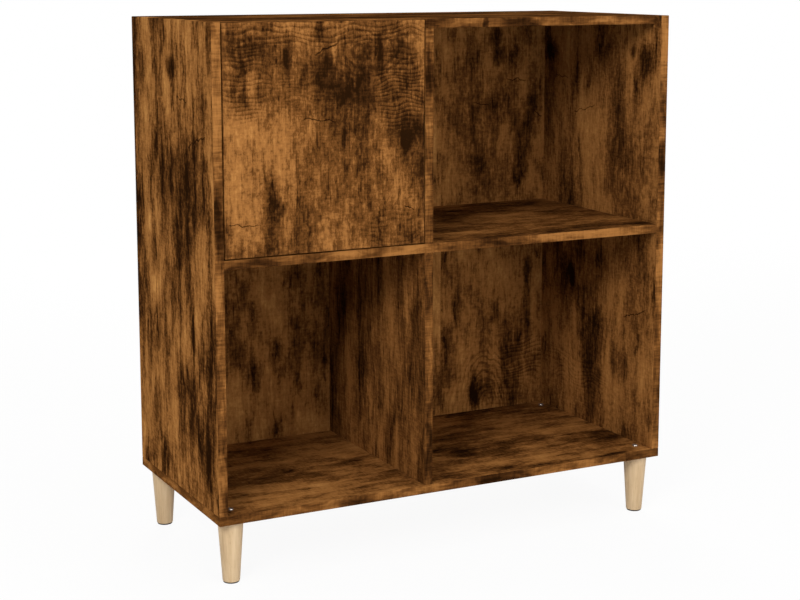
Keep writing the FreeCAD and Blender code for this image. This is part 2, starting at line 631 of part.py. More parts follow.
pocket(housing, ear_holes, "ear_screw_holes", "latch_ear + 2 * overrun")


# The plunger and the magnet at its tip, turned about the latch axis.
def make_rod(label, start, length):
    body = new_body(label, "latch_across", start, "latch_level")
    end = new_sketch(body, label + "_outline", "XZ_Plane")
    circle(end, "0", "0", "plunger_diameter - 2 * plunger_clearance")
    pad(body, end, label + "_rod", length, backwards=True)


make_rod("latch_magnet", "strike_face", "magnet_length")
make_rod("latch_plunger", "strike_face + magnet_length", "plunger_length")

# The steel plate on the door's back that the magnet holds.
strike = new_body("strike_plate", "latch_across", "door_thickness", "latch_level")
strike_outline = new_sketch(strike, "strike_outline", "XZ_Plane")
clipped(strike_outline, "-strike_width / 2", "strike_rise - strike_height",
        "strike_width / 2", "strike_rise", "strike_corner")
pad(strike, strike_outline, "strike_blank", "strike_thickness", backwards=True)
strike_hole = new_sketch(strike, "strike_screw_place", "XZ_Plane")
many_sided(strike_hole, "0", "-strike_screw_drop", "small_screw + 2 * fit_clearance")
pocket(strike, strike_hole, "strike_screw_hole", "strike_thickness + overrun")

# Legs and what goes with each: the origin is the middle of the leg's top.
LEG_NAMES = ("front_left", "rear_left", "front_right", "rear_right")
for leg_name, (leg_x, leg_y) in zip(LEG_NAMES, LEG_PLACES):
    leg = stacked("leg_" + leg_name, [("leg_top_diameter", "-leg_length", "0")],
                  leg_x, leg_y, "0", sides=32)
    blank = leg.Tip
    taper = leg.newObject("PartDesign::Draft", leg_name + "_taper")
    taper.Base = (blank, faces_along_z(blank, False))
    taper.NeutralPlane = (blank, faces_along_z(blank, True))
    taper.setExpression("Angle", spell("atan((leg_top_diameter - leg_foot_diameter) / 2 / leg_length)"))
    taper.Reversed = True
    doc.recompute()
    bore = new_sketch(leg, leg_name + "_insert_place", "XY_Plane")
    many_sided(bore, "0", "0", "insert_diameter + 2 * fit_clearance")
    pocket(leg, bore, leg_name + "_insert_bore", "insert_length")
    nail_bore = new_sketch(leg, leg_name + "_nail_place", "XY_Plane", "-leg_length")
    many_sided(nail_bore, "0", "0", "glide_pin_diameter + 2 * fit_clearance")
    pocket(leg, nail_bore, leg_name + "_nail_bore", "glide_pin_length + end_clearance", backwards=True)
    stacked("glide_" + leg_name, [("glide_diameter", "-glide_thickness", "0")],
            leg_x, leg_y, "-leg_length", sides=24)

# One of each kind of fitting, standing on its own origin.
stacked("glide_pin", [("glide_pin_diameter", "0", "glide_pin_length")])
insert = stacked("leg_insert", [("insert_diameter", "-insert_length", "0")])
thread = new_sketch(insert, "thread_place", "XY_Plane")
many_sided(thread, "0", "0", "leg_bolt_diameter + 2 * fit_clearance")
pocket(insert, thread, "thread_bore", "insert_length")
leg_bolt = stacked("leg_bolt", [("leg_bolt_head", "0", "leg_bolt_rise")], sides=16)
head = leg_bolt.Tip
crown = leg_bolt.newObject("PartDesign::Chamfer", "leg_bolt_crown_edges")
crown.Base = (head, faces_along_z(head, True))
crown.setExpression("Size", spell("(leg_bolt_head - leg_bolt_crown) / 2"))
doc.recompute()
rod = new_sketch(leg_bolt, "leg_bolt_rod_outline", "XY_Plane")
many_sided(rod, "0", "0", "leg_bolt_diameter")
pad(leg_bolt, rod, "leg_bolt_rod", "leg_bolt_length", backwards=True)
socket = new_sketch(leg_bolt, "socket_outline", "XY_Plane", "leg_bolt_rise")
many_sided(socket, "0", "0", "socket_flats", sides=6)
pocket(leg_bolt, socket, "socket_hole", "socket_depth")
stacked("wood_dowel", [("dowel_diameter", "0", "dowel_length")])
stacked("carcass_screw", [("screw_head", "0", "screw_head_depth"),
                          ("screw_shank", "screw_head_depth", "board"),
                          ("screw_thread", "board", "screw_length")])
stacked("small_screw_piece", [("small_screw", "-small_screw_length", "0"),
                              ("small_screw_head", "0", "small_screw_rise")])
# A cam bolt runs along Z: thread below its origin, head in the cam above it.
bolt_tip = "cam_setback + bolt_head_length / 2"
stacked("cam_bolt", [("bolt_rod", "-bolt_thread_depth", bolt_tip + " - bolt_head_length"),
                     ("bolt_head", bolt_tip + " - bolt_head_length", bolt_tip)])
# A cam disc has its face at the board's face, its middle on the bolt's axis, and a bore that
# lets the bolt's head in from below.
cam = new_body("cam_disc")
disc_outline = new_sketch(cam, "disc_outline", "YZ_Plane", "board / 2 - cam_height")
many_sided(disc_outline, "0", "cam_setback", "cam_diameter - 2 * fit_clearance", sides=12)
pad(cam, disc_outline, "disc", "cam_height")
head_place = new_sketch(cam, "head_place", "XY_Plane", "bolt_head_length + cam_setback")
many_sided(head_place, "0", "0", "cam_pocket")
pocket(cam, head_place, "head_bore", "cam_diameter")
slot_outline = new_sketch(cam, "slot_outline", "YZ_Plane", "board / 2")
rectangle(slot_outline, "-cam_diameter / 4", "cam_setback - cam_slot / 2",
          "cam_diameter / 4", "cam_setback + cam_slot / 2")
pocket(cam, slot_outline, "key_slot", "cam_slot_depth")

# Where the fittings go: a point on the face that two boards share, the way into the board whose
# end meets that face, and the side from which a cam is turned.
UP = V(0, 0, 1)
DOWN = V(0, 0, -1)
RIGHT = V(1, 0, 0)
LEFT = V(-1, 0, 0)
REAR = V(0, 1, 0)
RIGHT_WALL = "width - board"
JOINTS = {
    "top_left": ("board", TOP_MIDDLE, RIGHT, DOWN),
    "top_right": (RIGHT_WALL, TOP_MIDDLE, LEFT, DOWN),
    "shelf_left": ("board", SHELF_MIDDLE, RIGHT, DOWN),
    "shelf_right": (RIGHT_WALL, SHELF_MIDDLE, LEFT, DOWN),
    "upper_divider_top": ("divider_middle", "side_height", DOWN, RIGHT),
    "upper_divider_foot": ("divider_middle", "shelf_level + board", UP, RIGHT),
    "lower_divider_top": ("divider_middle", "shelf_level", DOWN, RIGHT),
    "lower_divider_foot": ("divider_middle", "board", UP, RIGHT),
    "left_side_foot": (SIDE_MIDDLES[0], "board", UP, RIGHT),
    "right_side_foot": (SIDE_MIDDLES[1], "board", UP, RIGHT),
}
SCREWED = ("lower_divider_foot", "left_side_foot", "right_side_foot")


def spot(x, y, z, along, facing=None):
    """A placement whose Z axis runs along a direction and whose X axis faces another."""
    point = V(number(x) - number("width / 2"), number(y) - number("depth / 2"),
              number(z) + number("foot_height"))
    if facing is None:
        return FreeCAD.Placement(point, FreeCAD.Rotation(UP, along))
    return FreeCAD.Placement(point, FreeCAD.Rotation(facing, along.cross(facing), along, "ZXY"))


def joint_spots(joint, rows):
    x, z, along, facing = JOINTS[joint]
    return [spot(x, row_formula, z, along, facing) for row_formula in rows]


def group(label, piece, spots):
    """Several copies of one fitting as separate solids under one name."""
    copies = []
    master = doc.getObject(piece).Shape.copy()
    master.Placement = FreeCAD.Placement()
    for where in spots:
        copy = master.copy()
        copy.Placement = where
        copies.append(copy)
    feature = doc.addObject("Part::Feature", label)
    feature.Label = label
    feature.Shape = Part.makeCompound(copies)


doc.recompute()
cam_spots = []
dowel_spots = []
for joint_name in JOINTS:
    low = joint_name == "lower_divider_top"
    if joint_name not in SCREWED:
        cam_spots += joint_spots(joint_name, LOW_ROWS if low else ROWS)
    dowel_spots += joint_spots(joint_name, MIDDLE_ROW if low else DOWEL_ROWS)
group("cam_bolts", "cam_bolt", cam_spots)
group("cam_discs", "cam_disc", cam_spots)
dowel_shift = FreeCAD.Placement(V(0, 0, -number("dowel_face_depth")), FreeCAD.Rotation())
group("wood_dowels", "wood_dowel", [where.multiply(dowel_shift) for where in dowel_spots])
group("carcass_screws", "carcass_screw",
      [spot(x, row_formula, "0", UP) for x, row_formula in grid(STANDING, ROWS)])
group("leg_bolts", "leg_bolt", [spot(x, y, "board", UP) for x, y in LEG_PLACES])
group("leg_inserts", "leg_insert", [spot(x, y, "0", UP) for x, y in LEG_PLACES])
group("glide_pins", "glide_pin", [spot(x, y, "-leg_length", UP) for x, y in LEG_PLACES])
group("hinge_cup_screws", "small_screw_piece",
      [spot(x, "door_thickness + flange_thickness", z, REAR) for x, z in CUP_SCREWS])
group("hinge_arm_screws", "small_screw_piece",
      [spot("board + arm_thickness", y, z, RIGHT) for y, z in ARM_SCREWS])
group("latch_screws", "small_screw_piece",
      [spot("divider_left - latch_ear", y, z, LEFT) for y, z in LATCH_SCREWS])
group("strike_screw", "small_screw_piece",
      [spot(STRIKE_SCREW[0], "strike_face", STRIKE_SCREW[1], REAR)])
doc.recompute()

NODES = list(BOARDS)
NODES += ["lower_hinge_cup", "upper_hinge_cup", "lower_hinge_arm", "upper_hinge_arm",
          "lower_hinge_pin", "upper_hinge_pin", "hinge_cup_screws", "hinge_arm_screws",
          "latch_housing", "latch_plunger", "latch_magnet", "latch_screws",
          "strike_plate", "strike_screw"]
NODES += ["leg_" + name for name in LEG_NAMES]
NODES += ["glide_" + name for name in LEG_NAMES]
NODES += ["glide_pins", "leg_inserts", "leg_bolts", "cam_discs", "cam_bolts", "wood_dowels",
          "carcass_screws"]

for thing in doc.Objects:
    if "Invalid" in thing.State or "Error" in thing.State:
        raise RuntimeError("%s failed to build" % thing.Label)
by_label = {thing.Label: thing for thing in doc.Objects}
for node in NODES:
    shape = by_label[node].Shape
    if shape.isNull() or not shape.isValid():
        raise RuntimeError("%s has no valid shape" % node)

os.makedirs("parts", exist_ok=True)
for node in NODES:
    by_label[node].Shape.exportStep("parts/%s.step" % node)
print("%d nodes written" % len(NODES))
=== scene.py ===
# %% [markdown]
# # A record cabinet with an inset door
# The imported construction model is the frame: every board, leg and fitting is already in its
# place, in metres. This lesson gives the pieces the finish that the real cabinet shows, and
# models again the few small pieces whose round shape the frame only holds in outline.

# %% Load the frame
import bpy
import bmesh
import math
from mathutils import Matrix, Vector


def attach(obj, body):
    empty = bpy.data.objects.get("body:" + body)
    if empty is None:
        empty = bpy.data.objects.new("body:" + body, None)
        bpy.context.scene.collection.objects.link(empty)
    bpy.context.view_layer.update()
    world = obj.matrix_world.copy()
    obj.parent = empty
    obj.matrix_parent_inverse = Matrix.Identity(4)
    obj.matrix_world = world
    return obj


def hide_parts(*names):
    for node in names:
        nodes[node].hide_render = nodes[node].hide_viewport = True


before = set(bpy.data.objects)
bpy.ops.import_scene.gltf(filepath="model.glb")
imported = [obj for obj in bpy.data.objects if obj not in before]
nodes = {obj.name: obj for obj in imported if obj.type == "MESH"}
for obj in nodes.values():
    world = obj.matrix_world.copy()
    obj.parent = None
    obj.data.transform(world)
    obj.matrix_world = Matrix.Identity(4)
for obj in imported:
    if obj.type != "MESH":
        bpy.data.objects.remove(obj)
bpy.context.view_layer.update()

# %% [markdown]
# ## Camera
# The photograph was taken from the cabinet's left, a little above its top, and its upright edges
# are parallel. A level camera with a large lens shift would draw them so too, but the shift would
# push the cabinet out of the frame when the camera goes round it. So the camera looks down a
# little and keeps only a small shift. With that shift, its place is the one that puts the corners
# of the carcass nearest to theirs in the photograph, which leaves them a few pixels off.

# %% Camera
camera_data = bpy.data.cameras.new("photo_camera")
camera_data.sensor_width = 36.0
camera_data.sensor_fit = "HORIZONTAL"
camera_data.lens = 74.62
camera_data.shift_y = -0.09
camera = bpy.data.objects.new("photo_camera", camera_data)
camera.location = (-1.3203, -2.5503, 0.9740)
camera.rotation_euler = (math.radians(81.11), 0, math.radians(-27.29))
bpy.context.scene.collection.objects.link(camera)
bpy.context.scene.camera = camera
bpy.context.scene.view_settings.view_transform = "Standard"
print("camera at", tuple(camera.location))

# %% [markdown]
# ## Numbers in a material
# A wood finish is a long sum of grain, streaks and knots. Written node by node it is hard to
# read, so a small class lets a material's numbers be added and multiplied like any others, and
# each operation still becomes one Math node.


# %% Helpers for materials
class Tone:
    """A number inside a material."""

    def __init__(self, tree, socket):
        self.tree = tree
        self.socket = socket

    def calc(self, operation, *others):
        step = self.tree.nodes.new("ShaderNodeMath")
        step.operation = operation
        for place, value in enumerate((self,) + others):
            if isinstance(value, Tone):
                self.tree.links.new(value.socket, step.inputs[place])
            else:
                step.inputs[place].default_value = value
        return Tone(self.tree, step.outputs[0])

    def __add__(self, other):
        return self.calc("ADD", other)

    def __sub__(self, other):
        return self.calc("SUBTRACT", other)

    def __mul__(self, other):
        return self.calc("MULTIPLY", other)

    def inverse(self):
        return (self * -1.0) + 1.0

    def sine(self):
        return self.calc("SINE")

    def most(self, other):
        return self.calc("MAXIMUM", other)

    def fade(self, start, end):
        """0 before start, 1 after end and smooth between them, in either direction."""
        step = self.tree.nodes.new("ShaderNodeMapRange")
        step.interpolation_type = "SMOOTHSTEP"
        low, high = (start, end) if start < end else (end, start)
        step.inputs["From Min"].default_value = low
        step.inputs["From Max"].default_value = high
        self.tree.links.new(self.socket, step.inputs["Value"])
        rising = Tone(self.tree, step.outputs["Result"])
        return rising if start < end else rising.inverse()


def stretched(tree, point, scale, shift=(0, 0, 0)):
    """A point of the piece, scaled along each axis and moved."""
    step = tree.nodes.new("ShaderNodeVectorMath")
    step.operation = "MULTIPLY_ADD"
    tree.links.new(point, step.inputs[0])
    step.inputs[1].default_value = scale
    step.inputs[2].default_value = shift
    return step.outputs[0]


def cloud(tree, point, scale, shift=(0, 0, 0), detail=3.0, rough=0.5):
    """Soft noise round 0, mostly between -0.5 and 0.5."""
    step = tree.nodes.new("ShaderNodeTexNoise")
    step.inputs["Scale"].default_value = 1.0
    step.inputs["Detail"].default_value = detail
    step.inputs["Roughness"].default_value = rough
    tree.links.new(stretched(tree, point, scale, shift), step.inputs["Vector"])
    return Tone(tree, step.outputs["Fac"]) - 0.5


def parts_of(tree, point):
    step = tree.nodes.new("ShaderNodeSeparateXYZ")
    tree.links.new(point, step.inputs[0])
    return [Tone(tree, output) for output in step.outputs]


def ramp(tree, tone, stops):
    step = tree.nodes.new("ShaderNodeValToRGB")
    elements = step.color_ramp.elements
    while len(elements) < len(stops):
        elements.new(0.5)
    for element, (place, colour) in zip(elements, stops):
        element.position = place
        element.color = (*colour, 1)
    tree.links.new(tone.socket, step.inputs["Fac"])
    return step.outputs["Color"]


def new_finish(name):
    """An empty material: its tree, its shader and the piece's own coordinates."""
    material = bpy.data.materials.new(name)
    material.use_nodes = True
    tree = material.node_tree
    shader = tree.nodes["Principled BSDF"]
    place = tree.nodes.new("ShaderNodeTexCoord").outputs["Object"]
    return material, tree, shader, place


def raise_grain(tree, shader, height, depth):
    """Bump from a number, in metres of depth."""
    step = tree.nodes.new("ShaderNodeBump")
    step.inputs["Strength"].default_value = 1.0
    step.inputs["Distance"].default_value = depth
    tree.links.new(height.socket, step.inputs["Height"])
    tree.links.new(step.outputs["Normal"], shader.inputs["Normal"])


print("material helpers ready")

# %% [markdown]
# ## Marks on the wood
# Knots, drips and cracks sit at fixed places of a board. Each is a small drawing in the board's
# own metres: an oval with a soft rim for a knot or a cloud, and a thin line between two points
# for a crack. Perfect ovals would look stamped, so the point that they are drawn with is first
# pushed about by a little noise.


# %% Marks on the wood

def pushed_about(tree, place, shift, scale, push):
    """The piece's own point, moved a little by soft noise, so that outlines on it turn ragged."""
    warp = tree.nodes.new("ShaderNodeTexNoise")
    warp.inputs["Scale"].default_value = 1.0
    warp.inputs["Detail"].default_value = 3.0
    tree.links.new(stretched(tree, place, scale, shift), warp.inputs["Vector"])
    step = tree.nodes.new("ShaderNodeVectorMath")
    step.operation = "MULTIPLY_ADD"
    step.inputs[1].default_value = (push, push, push)
    tree.links.new(warp.outputs["Color"], step.inputs[0])
    tree.links.new(stretched(tree, place, (1, 1, 1), (-push / 2,) * 3), step.inputs[2])
    return step.outputs[0]


def oval(tree, point, middle, reach):
    """How far out a point of a face lies: 1 on the ellipse. A reach of 0 ignores an axis."""
    scale = tuple(1 / r if r else 0 for r in reach)
    shift = tuple(-m * k for m, k in zip(middle, scale))
    step = tree.nodes.new("ShaderNodeVectorMath")
    step.operation = "LENGTH"
    tree.links.new(stretched(tree, point, scale, shift), step.inputs[0])
    return Tone(tree, step.outputs["Value"])


def spot(tree, point, middle, reach, soft=0.55):
    """1 inside such an ellipse and 0 outside, with a soft rim."""
    return oval(tree, point, middle, reach).fade(1 + soft, 1 - soft)


def reading(tree, point, direction, level):
    """How far a point lies beyond a level along a direction."""
    step = tree.nodes.new("ShaderNodeVectorMath")
    step.operation = "DOT_PRODUCT"
    tree.links.new(point, step.inputs[0])
    step.inputs[1].default_value = direction
    return Tone(tree, step.outputs["Value"]) - level


def crack(tree, point, start, end, width, looks):
    """1 on a thin line between two points of a face that looks along an axis."""
    start, end = Vector(start), Vector(end)
    run = (end - start).normalized()
    side = run.cross(Vector([float(axis == looks) for axis in "xyz"]))
    middle, half = (start + end) / 2, (end - start).length / 2
    inside = reading(tree, point, run, run.dot(middle)).calc("ABSOLUTE").fade(half, half * 0.6)
    near = reading(tree, point, side, side.dot(middle)).calc("ABSOLUTE").fade(width, width * 0.3)
    return inside * near


print("marks ready: spots, ovals and cracks")

# %% [markdown]
# ## Smoked oak
# The boards carry a printed decor of old smoked oak: light honey wood, broad brown clouds,
# near-black knots and short cracks, fine fibres along the grain and fine saw ripples across it.
# An image could be wrapped on them, but noise stretched along the grain gives the same look at
# any distance and never repeats from board to board. Each board is one call with its own grain
# direction, its own shift of the noise, and the knots and cracks that the photograph shows on it.
# The sum of all these is one number, and a colour ramp turns it into wood, dark to light.

# %% Tones and noises of the oak
OAK = [(0.0, (0.0165, 0.0062, 0.0018)), (0.22, (0.050, 0.0182, 0.0048)),
       (0.50, (0.148, 0.057, 0.0140)), (0.76, (0.310, 0.130, 0.034)),
       (1.0, (0.560, 0.265, 0.076))]
HARDBOARD = [(0.30, (0.150, 0.082, 0.040)), (0.50, (0.260, 0.152, 0.078)),
             (0.70, (0.400, 0.255, 0.145))]
# Each noise: its scale across the grain and along it, its detail and its roughness.
DRIFT = (11, 4.2, 2.0, 0.5)
STREAKS = (130, 7, 3.0, 0.6)
MOTTLE = (210, 120, 3.0, 0.7)
FIBRES = (330, 24, 3.0, 0.65)
WEAVE = (70, 330, 2.0, 0.6)
PORES = (300, 16, 1.0, 0.5)
BLOTCH_ACROSS, BLOTCH_DETAIL = 34, (4.0, 0.62)
# How much the noises and the marks change the tone.
LIFT_WEIGHT, BLOTCH_WEIGHT, MOTTLE_WEIGHT = 1.15, 1.05, 1.2
FIBRE_WEIGHT, WEAVE_WEIGHT = 0.50, 0.38
PORE_DEPTH, CRACK_DEPTH = 0.13, 0.42
# One turn of a sine, and how far noise bends the wavy lines and the nested ovals.
TURN, WAVE_BEND, RING_BEND = 6.283, 34.0, 38.0
# A banded edge ends this far behind the edge, in metres.
BAND_END, BAND_START = 0.0009, 0.0006
# Tones above the first number are held back by the second.
LIGHTEST, HELD_BACK = 0.70, 0.55
print("oak ramp:", len(OAK), "tones from", OAK[0][1], "to", OAK[-1][1])

# %% [markdown]
# ## Seams and bare sides
# The back differs from the other boards. Its print starts anew at a join line, as if a second
# sheet were laid beside the first, and its outer face carries no print at all. Each is a helper
# of its own, so that the finish of an ordinary board stays short.

# %% Seams and bare sides
SEAM_HALF, SEAM_JUMP = 0.0003, (3.1, 5.3, 4.7)


def seamed(tree, place, parts, seams):
    """Move the noise beyond each seam. Gives the moved point and the change of tone there."""
    change = None
    for axis, level, amount in seams:
        beyond = parts["xyz".index(axis)].fade(level - SEAM_HALF, level + SEAM_HALF)
        change = beyond * amount if change is None else change + beyond * amount
        moved = tree.nodes.new("ShaderNodeVectorMath")
        moved.operation = "MULTIPLY_ADD"
        tree.links.new(beyond.socket, moved.inputs[0])
        moved.inputs[1].default_value = SEAM_JUMP
        tree.links.new(place, moved.inputs[2])
        place = moved.outputs[0]
    return place, change


def bare_outside(tree, point, shift, depth, colour):
    """Raw hardboard where depth is 1, and the given colour where it is 0."""
    felted = cloud(tree, point, (420, 420, 420), shift, 4.0, 0.75)
    flow = cloud(tree, point, (18, 18, 18), shift, 4.0, 0.6)
    raw = ramp(tree, felted * 0.9 + flow * 0.7 + 0.5, HARDBOARD)
    mix = tree.nodes.new("ShaderNodeMix")
    mix.data_type = "RGBA"
    tree.links.new(depth.socket, mix.inputs["Factor"])
    tree.links.new(colour, mix.inputs["A"])
    tree.links.new(raw, mix.inputs["B"])
    return mix.outputs["Result"]


print("helpers ready: a seam moves the noise by", SEAM_JUMP)

# %% [markdown]
# ## One board's finish
# The noises give the ground tone, and lines, knots, drips and cracks are added or taken away. An
# edge with a glued band is summed apart, because its print runs across the board's.


# %% Smoked oak finish
def oak(name, grain="z", looks="y", seed=0.0, tone=0.50, contrast=1.0, waves=(), rings=(),
        spots=(), cracks=(), front=None, ends=None, edge_tone=0.50, edge_spots=(), seams=(),
        outside=None, cloud_length=8, streaky=0.62, dripping=0.15, mottled=0.50):
    """One board's finish.
    grain, looks: the axes along its grain and out of its large face. tone: how light it is.
    waves, rings: (middle, reach, spacing or count, strength) of wavy lines and nested ovals.
    spots: (middle, reach, change of tone). cracks: (start, end, width).
    front, ends: where the banded edges lie, along Y and along X.
    seams: (axis, place, change of tone). outside: where raw hardboard begins, along Y.
    cloud_length: clouds per metre along the grain. streaky, dripping, mottled: how strong."""
    material, tree, shader, place = new_finish(name)
    shift = (seed * 7.31, seed * 3.17, seed * 5.73)
    x, y, z = parts = parts_of(tree, place)
    still = place
    place, seam_tone = seamed(tree, place, parts, seams)

    def along(across, length):
        return tuple(length if axis == grain else across for axis in "xyz")

    def noise(point, across, length, detail, rough):
        return cloud(tree, point, along(across, length), shift, detail, rough)

    ragged = pushed_about(tree, place, shift, along(60, 24), 0.020)
    drawn = pushed_about(tree, still, shift, along(70, 26), 0.016)
    drift = noise(ragged, *DRIFT)
    blotch = noise(ragged, BLOTCH_ACROSS, cloud_length, *BLOTCH_DETAIL)
    streaks = noise(ragged, *STREAKS)
    mottle = noise(place, *MOTTLE)
    fibres = noise(place, *FIBRES)
    weave = noise(place, *WEAVE)
    lift = drift + blotch * BLOTCH_WEIGHT + streaks * streaky
    total = (lift * contrast * LIFT_WEIGHT + mottle * mottled * MOTTLE_WEIGHT
             + fibres * FIBRE_WEIGHT + weave * WEAVE_WEIGHT + tone)
    drips = (blotch + streaks * 0.9).fade(-0.15, -0.26)
    total = total - drips * dripping
    pores = noise(place, *PORES).fade(0.11, 0.22)
    total = total - pores * PORE_DEPTH

    length = z if grain == "z" else x
    for middle, reach, spacing, strength in waves:
        here = spot(tree, drawn, middle, reach, 0.3)
        bend = cloud(tree, still, (15, 15, 24), shift, 1.0, 0.4)
        field = length * (TURN / spacing) + bend * WAVE_BEND
        lines = field.sine().fade(-0.3, 0.9) + (field * 2.0 + fibres * 8.0).sine() * 0.2
        total = total - lines * here * (weave * 1.6 + 1.0) * strength
    for middle, reach, count, strength in rings:
        far = oval(tree, drawn, middle, reach)
        bend = cloud(tree, still, along(17, 9), shift, 2.0, 0.5)
        lines = (far * (TURN * count) + bend * RING_BEND).sine().fade(-0.1, 0.9)
        broken = (mottle * 2.5 + blotch * 3.0).fade(-0.9, 0.5)
        total = total - lines * far.fade(1.25, 0.6) * broken * strength
    for middle, reach, change in spots:
        total = total + spot(tree, drawn, middle, reach) * change
    for start, end, width in cracks:
        total = total - crack(tree, drawn, start, end, width, looks) * CRACK_DEPTH
    if seam_tone is not None:
        total = total + seam_tone
    if front is not None:
        band = y.fade(front + BAND_END, front + BAND_START)
        if ends is not None:
            sides = x.calc("ABSOLUTE").fade(ends - BAND_END, ends - BAND_START)
            band = band.most(sides)
        upright = grain == "z"
        cross = cloud(tree, place, (30, 30, 300) if upright else (300, 30, 30), shift, 3.0, 0.65)
        patch = cloud(tree, ragged, (60, 14, 17) if upright else (17, 14, 60), shift, 4.0, 0.6)
        banded = cross * (0.75 if upright else 0.40) + patch * 1.50 + fibres * 0.45 + edge_tone
        for middle, reach, change in edge_spots:
            banded = banded + spot(tree, drawn, middle, reach, 0.35) * change
        total = total * band.inverse() + banded * band
    # The lightest wood is held back, so that no patch runs into one flat colour.
    total = total - (total - LIGHTEST).most(0.0) * HELD_BACK
    colour = ramp(tree, total, OAK)
    if outside is not None:
        depth = y.fade(outside, outside + 0.0004)
        colour = bare_outside(tree, still, shift, depth, colour)
    tree.links.new(colour, shader.inputs["Base Color"])
    tree.links.new((total * -0.10 + 0.62).socket, shader.inputs["Roughness"])
    # Any gloss lays a pale veil over boards that are seen almost along their face.
    shader.inputs["Specular IOR Level"].default_value = 0.0
    raise_grain(tree, shader, fibres * 0.6 + weave * 0.5 + pores * -0.5, 0.00006)
    return material


def dress(node_name, *materials):
    """Give a frame node its materials."""
    slots = nodes[node_name].data.materials
    slots.clear()
    for material in materials:
        slots.append(material)


print("one call of oak() finishes one board")

# %% [markdown]
# ## The door
# Its decor lies across the grain in its upper third, with wavy lines and loops, and along it
# below. The dark clouds, the drips under them and the cracks are where the photograph shows them.

# %% The door's finish
DOOR_WAVES = [((-0.225, -0.190, 0.876), (0.190, 0, 0.020), 0.0085, 0.17),
              ((-0.100, -0.190, 0.785), (0.046, 0, 0.070), 0.0068, 0.17),
              ((-0.370, -0.190, 0.800), (0.040, 0, 0.062), 0.0074, 0.14),
              ((-0.265, -0.190, 0.800), (0.060, 0, 0.040), 0.0070, 0.07),
              ((-0.110, -0.190, 0.560), (0.060, 0, 0.035), 0.0100, 0.09)]
DOOR_RINGS = [((-0.150, -0.190, 0.845), (0.100, 0, 0.042), 4, 0.19),
              ((-0.378, -0.190, 0.840), (0.034, 0, 0.036), 3, 0.14),
              ((-0.225, -0.190, 0.550), (0.080, 0, 0.065), 3, 0.12)]
DOOR_SPOTS = [
    ((-0.345, -0.190, 0.810), (0.070, 0.000, 0.070), -0.09),
    ((-0.110, -0.190, 0.690), (0.055, 0.000, 0.055), -0.07),
    ((-0.389, -0.190, 0.864), (0.017, 0.000, 0.031), -0.20),
    ((-0.359, -0.190, 0.855), (0.013, 0.000, 0.017), -0.14),
    ((-0.339, -0.190, 0.853), (0.006, 0.000, 0.019), -0.24),
    ((-0.298, -0.190, 0.844), (0.006, 0.000, 0.033), -0.30),
    ((-0.242, -0.190, 0.878), (0.006, 0.000, 0.018), -0.30),
    ((-0.212, -0.190, 0.812), (0.060, 0.000, 0.044), -0.22),
    ((-0.200, -0.190, 0.762), (0.048, 0.000, 0.050), -0.25),
    ((-0.248, -0.190, 0.820), (0.028, 0.000, 0.030), -0.16),
    ((-0.141, -0.190, 0.854), (0.007, 0.000, 0.018), -0.20),
    ((-0.136, -0.190, 0.822), (0.005, 0.000, 0.023), -0.24),
    ((-0.108, -0.190, 0.853), (0.010, 0.000, 0.025), -0.12),
    ((-0.199, -0.190, 0.694), (0.007, 0.000, 0.045), -0.18),
    ((-0.178, -0.190, 0.698), (0.006, 0.000, 0.047), -0.18),
    ((-0.161, -0.190, 0.671), (0.009, 0.000, 0.057), -0.15),
    ((-0.142, -0.190, 0.660), (0.006, 0.000, 0.038), -0.15),
    ((-0.088, -0.190, 0.718), (0.036, 0.000, 0.028), -0.20),
    ((-0.078, -0.190, 0.664), (0.024, 0.000, 0.046), -0.22),
    ((-0.330, -0.190, 0.590), (0.009, 0.000, 0.067), -0.22),
    ((-0.313, -0.190, 0.602), (0.007, 0.000, 0.016), -0.30),
    ((-0.372, -0.190, 0.580), (0.034, 0.000, 0.047), 0.14),
    ((-0.297, -0.190, 0.679), (0.069, 0.000, 0.046), 0.06),
    ((-0.108, -0.190, 0.568), (0.044, 0.000, 0.036), -0.06),
    ((-0.156, -0.190, 0.596), (0.007, 0.000, 0.008), -0.26),
    ((-0.131, -0.190, 0.615), (0.073, 0.000, 0.016), -0.08),
    ((-0.154, -0.190, 0.834), (0.009, 0.000, 0.008), 0.18)]
DOOR_CRACKS = [((-0.256, -0.190, 0.843), (-0.204, -0.190, 0.860), 0.0020),
               ((-0.406, -0.190, 0.584), (-0.342, -0.190, 0.578), 0.0012),
               ((-0.280, -0.190, 0.743), (-0.210, -0.190, 0.737), 0.0010),
               ((-0.097, -0.190, 0.597), (-0.075, -0.190, 0.585), 0.0012)]
dress("door", oak("door_oak_finish", seed=8.0, tone=0.50, waves=DOOR_WAVES, rings=DOOR_RINGS,
                  spots=DOOR_SPOTS, cracks=DOOR_CRACKS, contrast=0.90, cloud_length=20,
                  streaky=0.45, mottled=0.75))
print("door dressed:", len(DOOR_SPOTS), "clouds and drips,", len(DOOR_CRACKS), "cracks")

# %% [markdown]
# ## The left side
# The camera sees this board almost along its face, so its clouds look drawn out. It is streakier
# than the door, with one round knot high up, three short cracks and a darker lower front. Its
# front edge carries a glued band whose print runs across it, so the edge has its own numbers.

